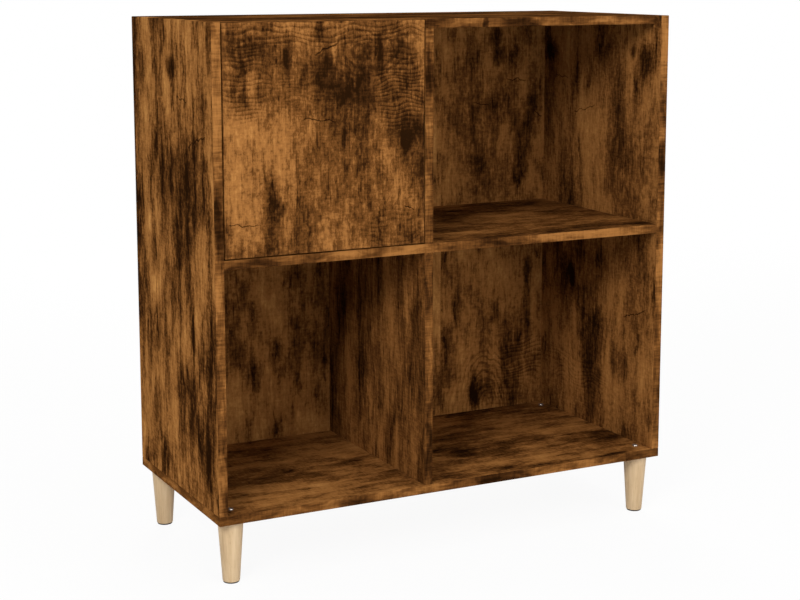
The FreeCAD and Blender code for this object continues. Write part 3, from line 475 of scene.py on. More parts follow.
# %% The left side's finish
FRONT = -0.19
SIDE_SPOTS = [
    ((-0.422, -0.004, 0.817), (0.000, 0.021, 0.017), -0.60),
    ((-0.422, 0.162, 0.825), (0.000, 0.032, 0.080), -0.32),
    ((-0.422, -0.004, 0.855), (0.000, 0.015, 0.012), -0.12),
    ((-0.422, -0.100, 0.756), (0.000, 0.012, 0.024), -0.24),
    ((-0.422, 0.086, 0.650), (0.000, 0.065, 0.086), -0.12),
    ((-0.422, -0.009, 0.624), (0.000, 0.143, 0.053), -0.16),
    ((-0.422, -0.164, 0.598), (0.000, 0.028, 0.046), -0.26),
    ((-0.422, -0.154, 0.675), (0.000, 0.009, 0.014), -0.30),
    ((-0.422, 0.125, 0.504), (0.000, 0.039, 0.035), -0.14),
    ((-0.422, 0.081, 0.446), (0.000, 0.060, 0.020), 0.16),
    ((-0.422, -0.069, 0.466), (0.000, 0.069, 0.026), 0.10),
    ((-0.422, -0.086, 0.391), (0.000, 0.007, 0.029), -0.34),
    ((-0.422, -0.159, 0.217), (0.000, 0.018, 0.107), -0.26),
    ((-0.422, 0.065, 0.154), (0.000, 0.032, 0.029), -0.18),
    ((-0.422, 0.103, 0.228), (0.000, 0.027, 0.048), -0.16),
    ((-0.422, -0.145, 0.802), (0.000, 0.047, 0.095), 0.10),
    ((-0.422, -0.107, 0.383), (0.000, 0.076, 0.064), 0.08),
    ((-0.422, -0.004, 0.760), (0.000, 0.005, 0.067), -0.14),
    ((-0.422, 0.040, 0.690), (0.000, 0.150, 0.080), -0.10),
    ((-0.422, -0.110, 0.640), (0.000, 0.060, 0.110), -0.08),
    ((-0.422, -0.120, 0.300), (0.000, 0.050, 0.120), -0.10),
    ((-0.422, 0.150, 0.330), (0.000, 0.030, 0.100), 0.08)]
SIDE_CRACKS = [((-0.422, -0.029, 0.772), (-0.422, -0.079, 0.767), 0.0014),
               ((-0.422, -0.079, 0.698), (-0.422, -0.164, 0.720), 0.0016),
               ((-0.422, -0.103, 0.687), (-0.422, -0.107, 0.646), 0.0014)]
SIDE_EDGE = [
    ((-0.415, -0.190, 0.777), (0.010, 0.000, 0.122), 0.10),
    ((-0.415, -0.190, 0.593), (0.010, 0.000, 0.051), -0.34),
    ((-0.415, -0.190, 0.491), (0.010, 0.000, 0.030), 0.06),
    ((-0.415, -0.190, 0.180), (0.010, 0.000, 0.062), -0.10)]
dress("left_side", oak("left_side_oak", looks="x", seed=1.0, tone=0.54, contrast=1.60,
                       cloud_length=10, mottled=0.8, streaky=0.50, spots=SIDE_SPOTS,
                       cracks=SIDE_CRACKS, front=FRONT, edge_tone=0.50, edge_spots=SIDE_EDGE,
                       dripping=0.08))
print("left side dressed:", len(SIDE_SPOTS), "clouds and knots")

# %% [markdown]
# ## The right side
# Only its inner face shows in the open bays: knots near the back, cracks in both bays, and loops
# of grain above the shelf and at the bottom. A mark has no limit along X, so the outer face,
# which the photograph doesn't show, gets the same marks in the same places.

# %% The right side's finish
RIGHT_RINGS = [((0.407, -0.150, 0.610), (0.000, 0.130, 0.110), 6, 0.15),
               ((0.407, -0.050, 0.120), (0.000, 0.050, 0.085), 6, 0.16)]
RIGHT_SPOTS = [
    ((0.407, 0.168, 0.755), (0.000, 0.015, 0.099), -0.12),
    ((0.407, 0.164, 0.818), (0.000, 0.017, 0.018), -0.40),
    ((0.407, 0.078, 0.762), (0.000, 0.016, 0.041), -0.26),
    ((0.407, -0.025, 0.807), (0.000, 0.018, 0.036), -0.12),
    ((0.407, -0.070, 0.759), (0.000, 0.020, 0.045), -0.16),
    ((0.407, -0.106, 0.827), (0.000, 0.010, 0.010), -0.40),
    ((0.407, -0.145, 0.810), (0.000, 0.020, 0.031), -0.26),
    ((0.407, 0.057, 0.800), (0.000, 0.009, 0.062), 0.16),
    ((0.407, -0.134, 0.856), (0.000, 0.050, 0.013), 0.10),
    ((0.407, 0.084, 0.396), (0.000, 0.011, 0.018), -0.40),
    ((0.407, 0.080, 0.374), (0.000, 0.007, 0.033), -0.26),
    ((0.407, 0.009, 0.233), (0.000, 0.029, 0.080), -0.22),
    ((0.407, -0.042, 0.214), (0.000, 0.015, 0.082), 0.18),
    ((0.407, -0.078, 0.247), (0.000, 0.024, 0.035), -0.30),
    ((0.407, -0.070, 0.377), (0.000, 0.007, 0.056), -0.22),
    ((0.407, 0.151, 0.190), (0.000, 0.028, 0.071), -0.14),
    ((0.407, 0.028, 0.368), (0.000, 0.045, 0.082), 0.08),
    ((0.407, -0.147, 0.177), (0.000, 0.031, 0.054), -0.10)]
RIGHT_CRACKS = [((0.407, 0.149, 0.772), (0.407, 0.098, 0.771), 0.0016),
                ((0.407, 0.087, 0.704), (0.407, 0.007, 0.727), 0.0018),
                ((0.407, -0.090, 0.343), (0.407, -0.166, 0.369), 0.0014)]
RIGHT_EDGE = [
    ((0.415, -0.190, 0.817), (0.009, 0.000, 0.057), 0.12),
    ((0.415, -0.190, 0.731), (0.009, 0.000, 0.025), -0.18),
    ((0.415, -0.190, 0.651), (0.009, 0.000, 0.027), -0.26),
    ((0.415, -0.190, 0.437), (0.009, 0.000, 0.054), 0.14),
    ((0.415, -0.190, 0.231), (0.009, 0.000, 0.099), -0.12)]
RIGHT_WAVES = [((0.407, 0.060, 0.215), (0.000, 0.110, 0.040), 0.0090, 0.12)]
dress("right_side", oak("right_side_oak", looks="x", seed=2.0, waves=RIGHT_WAVES, tone=0.58,
                        contrast=1.15, cloud_length=12, streaky=0.42, mottled=0.65,
                        rings=RIGHT_RINGS, spots=RIGHT_SPOTS, cracks=RIGHT_CRACKS,
                        front=FRONT, edge_tone=0.48,
                        edge_spots=RIGHT_EDGE))
print("right side dressed:", len(RIGHT_SPOTS), "clouds and knots")

# %% [markdown]
# ## The dividers
# Of the two dividers the photograph shows little more than their front edges, and those are
# dark where the door meets the upper one. Their faces take plain oak with other seeds.

# %% The dividers' finishes
DIVIDER_EDGES = [
    ((-0.048, -0.190, 0.811), (0.009, 0.000, 0.038), -0.22),
    ((-0.048, -0.190, 0.637), (0.009, 0.000, 0.103), 0.05),
    ((-0.048, -0.190, 0.474), (0.009, 0.000, 0.047), -0.10),
    ((-0.048, -0.190, 0.302), (0.009, 0.000, 0.075), 0.08),
    ((-0.048, -0.190, 0.177), (0.009, 0.000, 0.050), -0.12)]
dress("upper_divider", oak("upper_divider_oak", looks="x", seed=3.0, tone=0.50, front=FRONT,
                           edge_tone=0.38, edge_spots=DIVIDER_EDGES))
dress("lower_divider", oak("lower_divider_oak", looks="x", seed=4.0, tone=0.50, front=FRONT,
                           edge_tone=0.33, edge_spots=DIVIDER_EDGES))
print("dividers dressed:", len(DIVIDER_EDGES), "patches on each edge")

# %% [markdown]
# ## The level boards
# Top, shelf and bottom have their grain along X. The top lies between the sides, so its front
# edge is set back and has its own level. The bottom reaches under the sides, and its ends show
# as a thin band below them, so it is banded on three edges.

# %% The level boards' finishes
TOP_SET_BACK, HALF_WIDTH = 0.0186, 0.4225
TOP_EDGE = [
    ((0.037, -0.171, 0.884), (0.062, 0.000, 0.012), 0.10),
    ((0.067, -0.171, 0.884), (0.006, 0.000, 0.012), -0.34),
    ((0.134, -0.171, 0.882), (0.034, 0.000, 0.012), -0.20),
    ((0.315, -0.171, 0.881), (0.095, 0.000, 0.012), 0.10)]
# The top is the same oak decor as the other boards; its low tone is painted shade that darkens its
# face.
dress("top_panel", oak("top_panel_oak", grain="x", looks="z", seed=5.0, front=FRONT + TOP_SET_BACK,
                       edge_tone=0.33, edge_spots=TOP_EDGE, tone=0.30))
SHELF_EDGE = [
    ((-0.310, -0.190, 0.515), (0.110, 0.000, 0.012), -0.22),
    ((-0.141, -0.190, 0.515), (0.070, 0.000, 0.012), 0.02),
    ((0.093, -0.190, 0.523), (0.063, 0.000, 0.012), -0.22),
    ((0.289, -0.190, 0.524), (0.112, 0.000, 0.012), 0.12)]
dress("middle_shelf", oak("middle_shelf_oak", grain="x", looks="z", seed=6.0, front=FRONT,
                          edge_tone=0.54, edge_spots=SHELF_EDGE, cloud_length=14,
                          streaky=0.40))
BOTTOM_SPOTS = [
    ((0.383, -0.067, 0.119), (0.030, 0.043, 0.000), -0.28),
    ((0.092, -0.057, 0.119), (0.019, 0.031, 0.000), -0.18),
    ((0.101, -0.169, 0.119), (0.031, 0.024, 0.000), -0.12),
    ((0.411, -0.123, 0.119), (0.023, 0.041, 0.000), 0.08),
    ((0.290, -0.130, 0.119), (0.032, 0.040, 0.000), 0.06)]
BOTTOM_EDGE = [
    ((-0.359, -0.190, 0.114), (0.044, 0.000, 0.020), -0.14),
    ((-0.192, -0.190, 0.108), (0.089, 0.000, 0.020), -0.06),
    ((0.101, -0.190, 0.108), (0.055, 0.000, 0.020), -0.26),
    ((0.303, -0.190, 0.107), (0.095, 0.000, 0.020), 0.04)]
dress("bottom_panel", oak("bottom_panel_oak", grain="x", looks="z", seed=7.0, spots=BOTTOM_SPOTS,
                          tone=0.60, contrast=1.15, cloud_length=16, streaky=0.40, front=FRONT,
                          ends=HALF_WIDTH, edge_tone=0.50, edge_spots=BOTTOM_EDGE))
print("top, shelf and bottom dressed")

# %% [markdown]
# ## The back board
# The thin back shows a join line in the right bays, where one print stops and another starts: a
# seam moves the noise on one side of it. Lower right there is a large figure of nested loops.
# Its outer face is bare hardboard, which the photograph doesn't show: even brown, finely felted.

# %% The back board's finish
BACK_RINGS = [((0.282, 0.187, 0.125), (0.095, 0.000, 0.150), 9, 0.26),
              ((0.246, 0.187, 0.640), (0.060, 0.000, 0.090), 5, 0.11)]
BACK_WAVES = [((0.370, 0.187, 0.215), (0.060, 0.000, 0.040), 0.0085, 0.20),
              ((0.300, 0.187, 0.170), (0.110, 0.000, 0.060), 0.0090, 0.08)]
BACK_SPOTS = [
    ((0.170, 0.187, 0.330), (0.011, 0.000, 0.200), -0.12),
    # This broad light patch over the lower bay is painted light.
    ((0.200, 0.187, 0.310), (0.300, 0.000, 0.200), 0.11),
    ((0.305, 0.187, 0.809), (0.014, 0.000, 0.016), -0.40),
    ((0.297, 0.187, 0.844), (0.014, 0.000, 0.016), -0.24),
    ((0.301, 0.187, 0.694), (0.020, 0.000, 0.031), -0.18),
    ((0.388, 0.187, 0.724), (0.015, 0.000, 0.074), -0.24),
    ((0.214, 0.187, 0.760), (0.027, 0.000, 0.078), -0.06),
    ((0.322, 0.187, 0.371), (0.046, 0.000, 0.057), 0.16),
    ((0.213, 0.187, 0.429), (0.032, 0.000, 0.023), 0.12),
    ((0.218, 0.187, 0.368), (0.031, 0.000, 0.037), -0.16),
    ((0.375, 0.187, 0.392), (0.009, 0.000, 0.028), -0.38),
    ((0.373, 0.187, 0.310), (0.005, 0.000, 0.083), -0.26),
    ((0.205, 0.187, 0.267), (0.020, 0.000, 0.027), -0.26),
    ((0.181, 0.187, 0.186), (0.020, 0.000, 0.048), -0.24),
    ((0.259, 0.187, 0.150), (0.020, 0.000, 0.030), -0.26),
    # These two broad, faint dark patches toward the right side and round the shelf are painted
    # shade.
    ((0.460, 0.187, 0.690), (0.200, 0.000, 0.080), -0.06),
    ((0.340, 0.187, 0.560), (0.200, 0.000, 0.080), -0.06),
    ((0.254, 0.187, 0.365), (0.013, 0.000, 0.037), -0.14)]
BACK_CRACKS = [((0.317, 0.187, 0.766), (0.370, 0.187, 0.760), 0.0018),
               ((0.382, 0.187, 0.702), (0.403, 0.187, 0.690), 0.0014),
               ((0.250, 0.187, 0.723), (0.286, 0.187, 0.716), 0.0012)]
JOIN_LINE, BARE_FROM = 0.1795, 0.1888
dress("back_board", oak("back_oak_finish", seed=9.0, tone=0.64, contrast=1.40,
                        cloud_length=14, streaky=0.38, mottled=0.65, rings=BACK_RINGS,
                        waves=BACK_WAVES, spots=BACK_SPOTS, cracks=BACK_CRACKS,
                        seams=[("x", JOIN_LINE, -0.05)], outside=BARE_FROM))
print("back board dressed, with raw hardboard outside")

# %% [markdown]
# ## Metals and plastics
# The fittings are plated steel, cast zinc and moulded plastic. A metal's look comes from its
# roughness, so a fine noise breaks up the gloss. Full metal would only mirror the dark bays, so
# a fifth of the shader stays plain, as the dull film of a satin plating does.


# %% Metals and plastics
METALLIC, WORN = 0.8, 0.12


def metal(name, colour, rough):
    material, tree, shader, place = new_finish(name)
    shader.inputs["Metallic"].default_value = METALLIC
    marks = cloud(tree, place, (900, 900, 900), detail=2.0)
    tint = ramp(tree, marks + 0.5, [(0.2, tuple(c * 0.86 for c in colour)), (0.8, colour)])
    tree.links.new(tint, shader.inputs["Base Color"])
    tree.links.new((marks * WORN + rough).socket, shader.inputs["Roughness"])
    return material


def plastic(name, colour, rough):
    material, tree, shader, place = new_finish(name)
    speckle = cloud(tree, place, (1500, 1500, 1500), detail=2.0)
    tint = ramp(tree, speckle + 0.5, [(0.2, tuple(c * 0.9 for c in colour)), (0.8, colour)])
    tree.links.new(tint, shader.inputs["Base Color"])
    tree.links.new((speckle * 0.1 + rough).socket, shader.inputs["Roughness"])
    raise_grain(tree, shader, speckle, 0.00004)
    return material


nickel = metal("nickel_finish", (0.66, 0.64, 0.60), 0.34)
bright_steel = metal("bright_steel_finish", (0.60, 0.60, 0.60), 0.25)
zinc = metal("zinc_finish", (0.55, 0.55, 0.53), 0.38)
dark_nickel = metal("dark_nickel_finish", (0.52, 0.46, 0.41), 0.17)
brass = metal("brass_finish", (0.60, 0.42, 0.16), 0.32)
light_grey = plastic("light_grey_finish", (0.34, 0.33, 0.31), 0.5)
dark_brown = plastic("dark_brown_finish", (0.018, 0.012, 0.009), 0.5)
for name in ("lower_hinge_cup", "upper_hinge_cup", "lower_hinge_arm", "upper_hinge_arm",
             "strike_plate"):
    dress(name, nickel)
for name in ("lower_hinge_pin", "upper_hinge_pin", "latch_magnet", "glide_pins"):
    dress(name, bright_steel)
for name in ("carcass_screws", "cam_discs", "cam_bolts"):
    dress(name, zinc)
dress("leg_inserts", brass)
for name in ("latch_housing", "latch_plunger"):
    dress(name, light_grey)
print("metals and plastics ready")

# %% [markdown]
# ## Light wood
# The legs are pale beech under a clear satin lacquer. Beech has a close, even grain with short
# dark flecks, so the noise is finer than the oak's, has little contrast and runs up the leg.


# %% Light wood of the legs
def light_wood(name):
    material, tree, shader, place = new_finish(name)
    grain = cloud(tree, place, (130, 130, 7), detail=4.0, rough=0.6)
    broad = cloud(tree, place, (30, 30, 4), (3, 0, 0))
    flecks = cloud(tree, place, (900, 900, 90), detail=1.0).fade(0.12, 0.3)
    stripes = cloud(tree, place, (420, 420, 9), (1, 0, 0), detail=2.0)
    tone = grain * 0.75 + broad * 0.6 + stripes * 0.45 - flecks * 0.18 + 0.55
    colour = ramp(tree, tone, [(0.15, (0.40, 0.255, 0.125)), (0.5, (0.56, 0.395, 0.222)),
                               (0.9, (0.69, 0.52, 0.320))])
    tree.links.new(colour, shader.inputs["Base Color"])
    shader.inputs["Roughness"].default_value = 0.42
    raise_grain(tree, shader, grain - flecks, 0.0001)
    return material


beech = light_wood("light_beech_finish")
dress("wood_dowels", beech)
print("beech ready, dowels dressed in it")

# %% [markdown]
# ## Turned pieces
# The legs, the glides under them and the heads of the bolts and screws are round on the real
# cabinet, and the frame holds them with flats. Each is started from one primitive and shaped in
# edit mode, as a turner would: faces and edges are selected by where they are, then inset,
# extruded or bevelled. The helpers select, finish, copy and join, and the last one gives a new
# piece its material, its body and the frame nodes that it stands for.


# %% Helpers for pieces
def start_shaping():
    bpy.ops.object.mode_set(mode="EDIT")
    bpy.ops.mesh.select_all(action="DESELECT")


def select_where(kind, wanted):
    """Select the edit mesh's faces or edges for which wanted is true."""
    bpy.ops.mesh.select_mode(type=kind)
    mesh = bmesh.from_edit_mesh(bpy.context.edit_object.data)
    for element in mesh.faces if kind == "FACE" else mesh.edges:
        element.select_set(wanted(element))
    bmesh.update_edit_mesh(bpy.context.edit_object.data)


def face_at(level, facing=1):
    """A test for a flat face at a height that looks up (1) or down (-1)."""
    return lambda face: (abs(face.calc_center_median().z - level) < 1e-5
                         and face.normal.z * facing > 0.9)


def rim_at(level, radius):
    """A test for the edges of a round rim about the Z axis."""
    return lambda edge: all(abs(v.co.z - level) < 1e-5 and abs(v.co.xy.length - radius) < 1e-4
                            for v in edge.verts)


def finish_piece(name, angle=35):
    """Leave edit mode, put the place into the mesh and smooth all but the sharp edges."""
    bpy.ops.object.mode_set(mode="OBJECT")
    bpy.ops.object.transform_apply(location=True, rotation=True, scale=True)
    bpy.ops.object.shade_smooth_by_angle(angle=math.radians(angle))
    piece = bpy.context.active_object
    piece.name = name
    return piece


def copied(piece, name, place):
    """A copy with its own mesh, moved by a matrix."""
    twin = piece.copy()
    twin.data = piece.data.copy()
    twin.name = name
    twin.data.transform(place)
    bpy.context.scene.collection.objects.link(twin)
    return twin


def joined(pieces, name):
    bpy.ops.object.select_all(action="DESELECT")
    for piece in pieces:
        piece.select_set(True)
    bpy.context.view_layer.objects.active = pieces[0]
    if len(pieces) > 1:
        bpy.ops.object.join()
    pieces[0].name = name
    return pieces[0]


def settle(piece, body, material, slot, *stands_for):
    """Finish, body and frame nodes of a new piece."""
    piece.data.materials.clear()
    piece.data.materials.append(material)
    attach(piece, body)
    if stands_for:
        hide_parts(*stands_for)


print("helpers for new pieces ready")

# %% [markdown]
# ## Legs
# A leg is a straight taper of light beech, turned on a lathe, with both rims just broken by
# sandpaper. A cone cut off at both ends is nearly that, so it is the start, and two bevels do
# the rest.

# %% Legs
FOOT_X, FOOT_Y = 0.3925, 0.160
LEG_TOP, LEG_FOOT = 0.104, 0.0025
TOP_RADIUS, FOOT_RADIUS = 0.021, 0.014
TOP_ROUND, FOOT_ROUND = 0.0004, 0.0006
bpy.ops.object.select_all(action="DESELECT")
bpy.ops.mesh.primitive_cone_add(vertices=72, radius1=FOOT_RADIUS, radius2=TOP_RADIUS,
                                depth=LEG_TOP - LEG_FOOT)
half = (LEG_TOP - LEG_FOOT) / 2
start_shaping()
select_where("EDGE", rim_at(-half, FOOT_RADIUS))
bpy.ops.mesh.bevel(offset=FOOT_ROUND, segments=3, affect="EDGES")
select_where("EDGE", rim_at(half, TOP_RADIUS))
bpy.ops.mesh.bevel(offset=TOP_ROUND, segments=2, affect="EDGES")
select_where("FACE", face_at(-half, -1))
bpy.ops.mesh.inset(thickness=0.0020, depth=0)
turned = finish_piece("turned_leg")
PLACES = {"front_left": (-1, -1), "rear_left": (-1, 1), "front_right": (1, -1),
          "rear_right": (1, 1)}
for corner, (side, way) in PLACES.items():
    spin = Matrix.Rotation(math.radians(47 * (side + 2 * way)), 4, "Z")
    leg = copied(turned, "turned_leg_" + corner,
                 Matrix.Translation((side * FOOT_X, way * FOOT_Y, LEG_FOOT + half)) @ spin)
    settle(leg, "cabinet", beech, "leg_wood", "leg_" + corner)
bpy.data.objects.remove(turned)
print("legs:", len(PLACES), "of", len(leg.data.polygons), "faces")

# %% [markdown]
# ## Glides
# Under each leg a thin dark plastic disc is held by one nail through its middle. Its lower rim is
# well rounded, so that it slides, and the nail's head lies in a shallow cup.

# %% Glides
GLIDE_RADIUS, GLIDE_RISE = 0.0130, 0.0025
bpy.ops.object.select_all(action="DESELECT")
bpy.ops.mesh.primitive_cylinder_add(vertices=64, radius=GLIDE_RADIUS, depth=GLIDE_RISE,
                                    location=(0, 0, GLIDE_RISE / 2))
bpy.ops.object.transform_apply(location=True)
start_shaping()
select_where("EDGE", rim_at(0.0, GLIDE_RADIUS))
bpy.ops.mesh.bevel(offset=0.0008, segments=4, affect="EDGES")
select_where("FACE", face_at(0.0, -1))
bpy.ops.mesh.inset(thickness=0.0060, depth=0)
bpy.ops.mesh.inset(thickness=0.0006, depth=-0.0008)
disc = finish_piece("glide_disc", angle=50)
for corner, (side, way) in PLACES.items():
    glide = copied(disc, "glide_disc_" + corner,
                   Matrix.Translation((side * FOOT_X, way * FOOT_Y, 0)))
    settle(glide, "cabinet", dark_brown, "dark_plastic", "glide_" + corner)
bpy.data.objects.remove(disc)
print("glides:", len(PLACES))

# %% [markdown]
# ## Leg bolts
# Each leg hangs on a bolt whose low round head shows on the floor of the bay. The head is domed,
# and its hexagon socket is cut with a Boolean modifier, as a punch would sink it.


# %% Leg bolts
def cut_by(piece, cutter):
    """Take a cutter's volume out of a piece and remove the cutter."""
    step = piece.modifiers.new("recess", "BOOLEAN")
    step.operation = "DIFFERENCE"
    step.solver = "EXACT"
    step.object = cutter
    bpy.ops.object.select_all(action="DESELECT")
    piece.select_set(True)
    bpy.context.view_layer.objects.active = piece
    bpy.ops.object.modifier_apply(modifier=step.name)
    bpy.data.objects.remove(cutter)


def headed_rod(name, radius, rise, dome, rod_radius, rod_length, sides=48):
    """A domed head on the level 0, looking up, with its rod below."""
    bpy.ops.object.select_all(action="DESELECT")
    bpy.ops.mesh.primitive_cylinder_add(vertices=sides, radius=radius, depth=rise,
                                        location=(0, 0, rise / 2))
    bpy.ops.object.transform_apply(location=True)
    start_shaping()
    select_where("EDGE", rim_at(rise, radius))
    bpy.ops.mesh.bevel(offset=dome, segments=6, affect="EDGES", clamp_overlap=True)
    select_where("FACE", face_at(0.0, -1))
    bpy.ops.mesh.inset(thickness=radius - rod_radius, depth=0)
    bpy.ops.mesh.extrude_region_move(TRANSFORM_OT_translate={"value": (0, 0, -rod_length)})
    bpy.ops.mesh.bevel(offset=rod_radius * 0.3, segments=1, affect="EDGES")
    return finish_piece(name)


HEAD_RISE = 0.0032
bolt = headed_rod("bolt", radius=0.00525, rise=HEAD_RISE, dome=0.0019, rod_radius=0.0030,
                  rod_length=0.030)
bpy.ops.object.select_all(action="DESELECT")
bpy.ops.mesh.primitive_cylinder_add(vertices=6, radius=0.0023, depth=0.004,
                                    location=(0, 0, HEAD_RISE))
cut_by(bolt, bpy.context.active_object)
BOARD_TOP = 0.119
heads = [copied(bolt, "bolt_copy", Matrix.Translation((side * FOOT_X, way * FOOT_Y, BOARD_TOP)))
         for side, way in PLACES.values()]
bpy.data.objects.remove(bolt)
bolts = joined(heads, "leg_bolt_heads")
settle(bolts, "cabinet", dark_nickel, "black_bolt", "leg_bolts")
print("leg bolts:", len(PLACES), "heads,", len(bolts.data.polygons), "faces")

# %% [markdown]
# ## Fitting screws
# The hinges, the latch and the strike plate are held by small pan head screws with a cross
# recess. One screw is made, looking up, and each place turns a copy of it to face its way.

# %% Fitting screws
screw = headed_rod("screw", radius=0.0028, rise=0.0014, dome=0.0010, rod_radius=0.0015,
                   rod_length=0.010, sides=32)
blades = []
for turn in (0, 90):
    bpy.ops.object.select_all(action="DESELECT")
    bpy.ops.mesh.primitive_cone_add(vertices=4, radius1=0.0004, radius2=0.0024, depth=0.0012,
                                    location=(0, 0, 0.0010), rotation=(0, 0, math.radians(45)))
    bpy.ops.object.transform_apply(location=True, rotation=True)
    blade = bpy.context.active_object
    blade.data.transform(Matrix.Rotation(math.radians(turn), 4, "Z")
                         @ Matrix.Diagonal((1.0, 0.22, 1.0, 1.0)))
    cut_by(screw, blade)
INTO_DOOR = Matrix.Rotation(math.radians(-90), 4, "X")
INTO_SIDE = Matrix.Rotation(math.radians(90), 4, "Y")
INTO_DIVIDER = Matrix.Rotation(math.radians(-90), 4, "Y")
SCREWS = {
    "hinge_cup_screws": ("door", INTO_DOOR, [(-0.3775, -0.1738, z)
                                             for z in (0.5865, 0.6345, 0.7890, 0.8370)]),
    "hinge_arm_screws": ("cabinet", INTO_SIDE, [(-0.4043, y, z) for y in (-0.138, -0.114)
                                                for z in (0.6105, 0.8130)]),
    "latch_screws": ("cabinet", INTO_DIVIDER, [(-0.0590, -0.1635, z) for z in (0.823, 0.851)]),
    "strike_screw": ("door", INTO_DOOR, [(-0.0630, -0.1740, 0.823)])}
for node, (body, way, places) in SCREWS.items():
    group = [copied(screw, "screw_copy", Matrix.Translation(place) @ way
                    @ Matrix.Rotation(math.radians(31 * count), 4, "Z"))
             for count, place in enumerate(places)]
    settle(joined(group, "cross_" + node), body, zinc, "zinc_screws", node)
    print(node, len(places))
bpy.data.objects.remove(screw)

# %% [markdown]
# ## Back nails
# The thin back is nailed to the rear edges of the boards, and these nails hold it. The frame
# leaves them out to stay small. Only their flat heads show, so one head is made and copied to
# the places where a board lies under the back.

# %% Back nails
nail = headed_rod("nail", radius=0.0021, rise=0.0005, dome=0.0003, rod_radius=0.0008,
                  rod_length=0.002, sides=20)
OUT_OF_BACK = Matrix.Rotation(math.radians(-90), 4, "X")
BACK_PLANE = 0.190
SIDE_MIDDLE, DIVIDER_MIDDLE = 0.415, -0.0485
BOTTOM_MIDDLE, SHELF_MIDDLE, TOP_MIDDLE = 0.1115, 0.521, 0.8865
SHARES = (0.2, 0.5, 0.8)


def across(share):
    """A place on the cabinet's width, from 0 at the left to 1 at the right."""
    return -HALF_WIDTH + share * 2 * HALF_WIDTH


nail_places = [(side * SIDE_MIDDLE, BOTTOM_MIDDLE + share * (TOP_MIDDLE - BOTTOM_MIDDLE))
               for side in (-1, 1) for share in SHARES]
nail_places += [(across(share), level) for level in (BOTTOM_MIDDLE, TOP_MIDDLE)
                for share in SHARES]
nail_places += [(across(share), SHELF_MIDDLE) for share in (0.2, 0.8)]
nail_places += [(DIVIDER_MIDDLE, 0.32), (DIVIDER_MIDDLE, 0.70)]
nails = joined([copied(nail, "nail_copy", Matrix.Translation((x, BACK_PLANE, z)) @ OUT_OF_BACK)
                for x, z in nail_places], "back_nail_heads")
bpy.data.objects.remove(nail)
settle(nails, "cabinet", zinc, "zinc_screws")
print("back nails:", len(nail_places))

# %% [markdown]
# ## Softer edges on the pressed metal
# Pressed and moulded parts have small rounded edges that catch the light. The frame's pieces keep
# their meshes, so two modifiers weld the loose triangles and round what is sharp.

# %% Softer edges
EDGE_WIDTHS = {"lower_hinge_cup": 0.0003, "upper_hinge_cup": 0.0003, "lower_hinge_arm": 0.0003,
               "upper_hinge_arm": 0.0003, "strike_plate": 0.0002, "latch_housing": 0.0006}
for name, width in EDGE_WIDTHS.items():
    node = nodes[name]
    weld = node.modifiers.new("weld", "WELD")
    weld.merge_threshold = 0.00001
    bevel = node.modifiers.new("soft_edges", "BEVEL")
    bevel.width = width
    bevel.segments = 2
    bevel.limit_method = "ANGLE"
    bevel.angle_limit = math.radians(40)
print("edges softened:", len(EDGE_WIDTHS), "pieces")

# %% [markdown]
# ## Floor and world
# The photograph has a plain white ground. A pale floor keeps the cabinet's shadow, and the white
# comes from what the camera sees of the floor and the world, not from more light on the wood.
# Far from the cabinet the floor fades to the world's white, so that no horizon shows.

# %% Floor and world
bpy.ops.object.select_all(action="DESELECT")
bpy.ops.mesh.primitive_plane_add(size=14, location=(0, 0, 0))
floor = bpy.context.active_object
floor.name = "studio_floor"
floor_finish, tree, shader, place = new_finish("floor_finish")
speckle = cloud(tree, place, (3, 3, 3), detail=2.0)
tree.links.new(ramp(tree, speckle + 0.5, [(0.0, (0.80, 0.80, 0.80)), (1.0, (0.84, 0.84, 0.84))]),
               shader.inputs["Base Color"])
shader.inputs["Roughness"].default_value = 0.9
glow = tree.nodes.new("ShaderNodeEmission")
glow.inputs["Strength"].default_value = 1.0
ray = tree.nodes.new("ShaderNodeLightPath")
x, y, z = parts_of(tree, place)
white = (x * x + y * y).fade(1.0, 12.0) * 0.07 + 0.93
share = Tone(tree, ray.outputs["Is Camera Ray"]) * white
blend = tree.nodes.new("ShaderNodeMixShader")
tree.links.new(share.socket, blend.inputs["Fac"])
tree.links.new(shader.outputs["BSDF"], blend.inputs[1])
tree.links.new(glow.outputs["Emission"], blend.inputs[2])
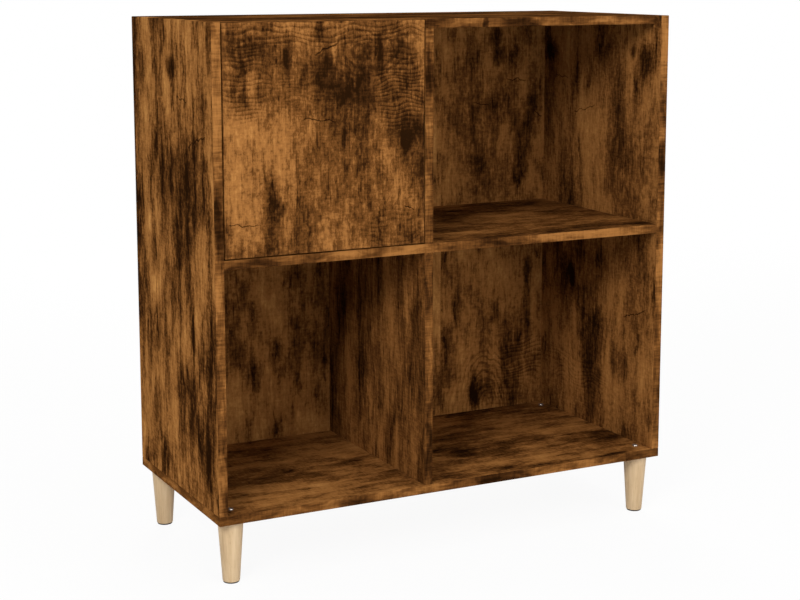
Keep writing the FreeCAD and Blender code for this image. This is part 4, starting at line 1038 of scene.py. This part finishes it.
tree.links.new(blend.outputs["Shader"], tree.nodes["Material Output"].inputs["Surface"])
floor.data.materials.append(floor_finish)

world = bpy.data.worlds.new("studio_world")
bpy.context.scene.world = world
world.use_nodes = True
tree = world.node_tree
ambient = tree.nodes["Background"]
ambient.inputs["Color"].default_value = (1.0, 0.99, 0.97, 1)
ambient.inputs["Strength"].default_value = 0.32
seen = tree.nodes.new("ShaderNodeBackground")
seen.inputs["Color"].default_value = (1, 1, 1, 1)
seen.inputs["Strength"].default_value = 1.0
path = tree.nodes.new("ShaderNodeLightPath")
either = Tone(tree, path.outputs["Is Camera Ray"]).most(Tone(tree, path.outputs["Is Glossy Ray"]))
either = either.most(Tone(tree, path.outputs["Is Transmission Ray"]))
blend = tree.nodes.new("ShaderNodeMixShader")
tree.links.new(either.socket, blend.inputs["Fac"])
tree.links.new(ambient.outputs["Background"], blend.inputs[1])
tree.links.new(seen.outputs["Background"], blend.inputs[2])
tree.links.new(blend.outputs["Shader"], tree.nodes["World Output"].inputs["Surface"])
print("floor and world ready")

# %% [markdown]
# ## Lamps
# The light in the photograph is broad and soft. It is strongest from the front left, since the
# left side is as light as the door and the bays get darker towards the back. Large area lamps
# give such soft light. One stands behind, so that views of the back aren't dark.


# %% Lamps
def soft_lamp(name, place, aim, size, power):
    lamp = bpy.data.lights.new(name, "AREA")
    lamp.shape = "SQUARE"
    lamp.size = size
    lamp.energy = power
    holder = bpy.data.objects.new(name, lamp)
    holder.location = place
    holder.rotation_euler = (Vector(aim) - Vector(place)).to_track_quat("-Z", "Y").to_euler()
    bpy.context.scene.collection.objects.link(holder)


soft_lamp("key_lamp", (-2.6, -2.4, 2.3), (0, 0, 0.5), 1.4, 90)
soft_lamp("fill_lamp", (1.2, -3.4, 1.4), (0, 0, 0.45), 2.4, 52)
soft_lamp("top_lamp", (0.0, -0.6, 3.2), (0, 0, 0.6), 2.4, 30)
soft_lamp("rear_lamp", (1.2, 3.2, 1.8), (0, 0, 0.45), 2.0, 60)
print("lamps: key, fill, top and rear")
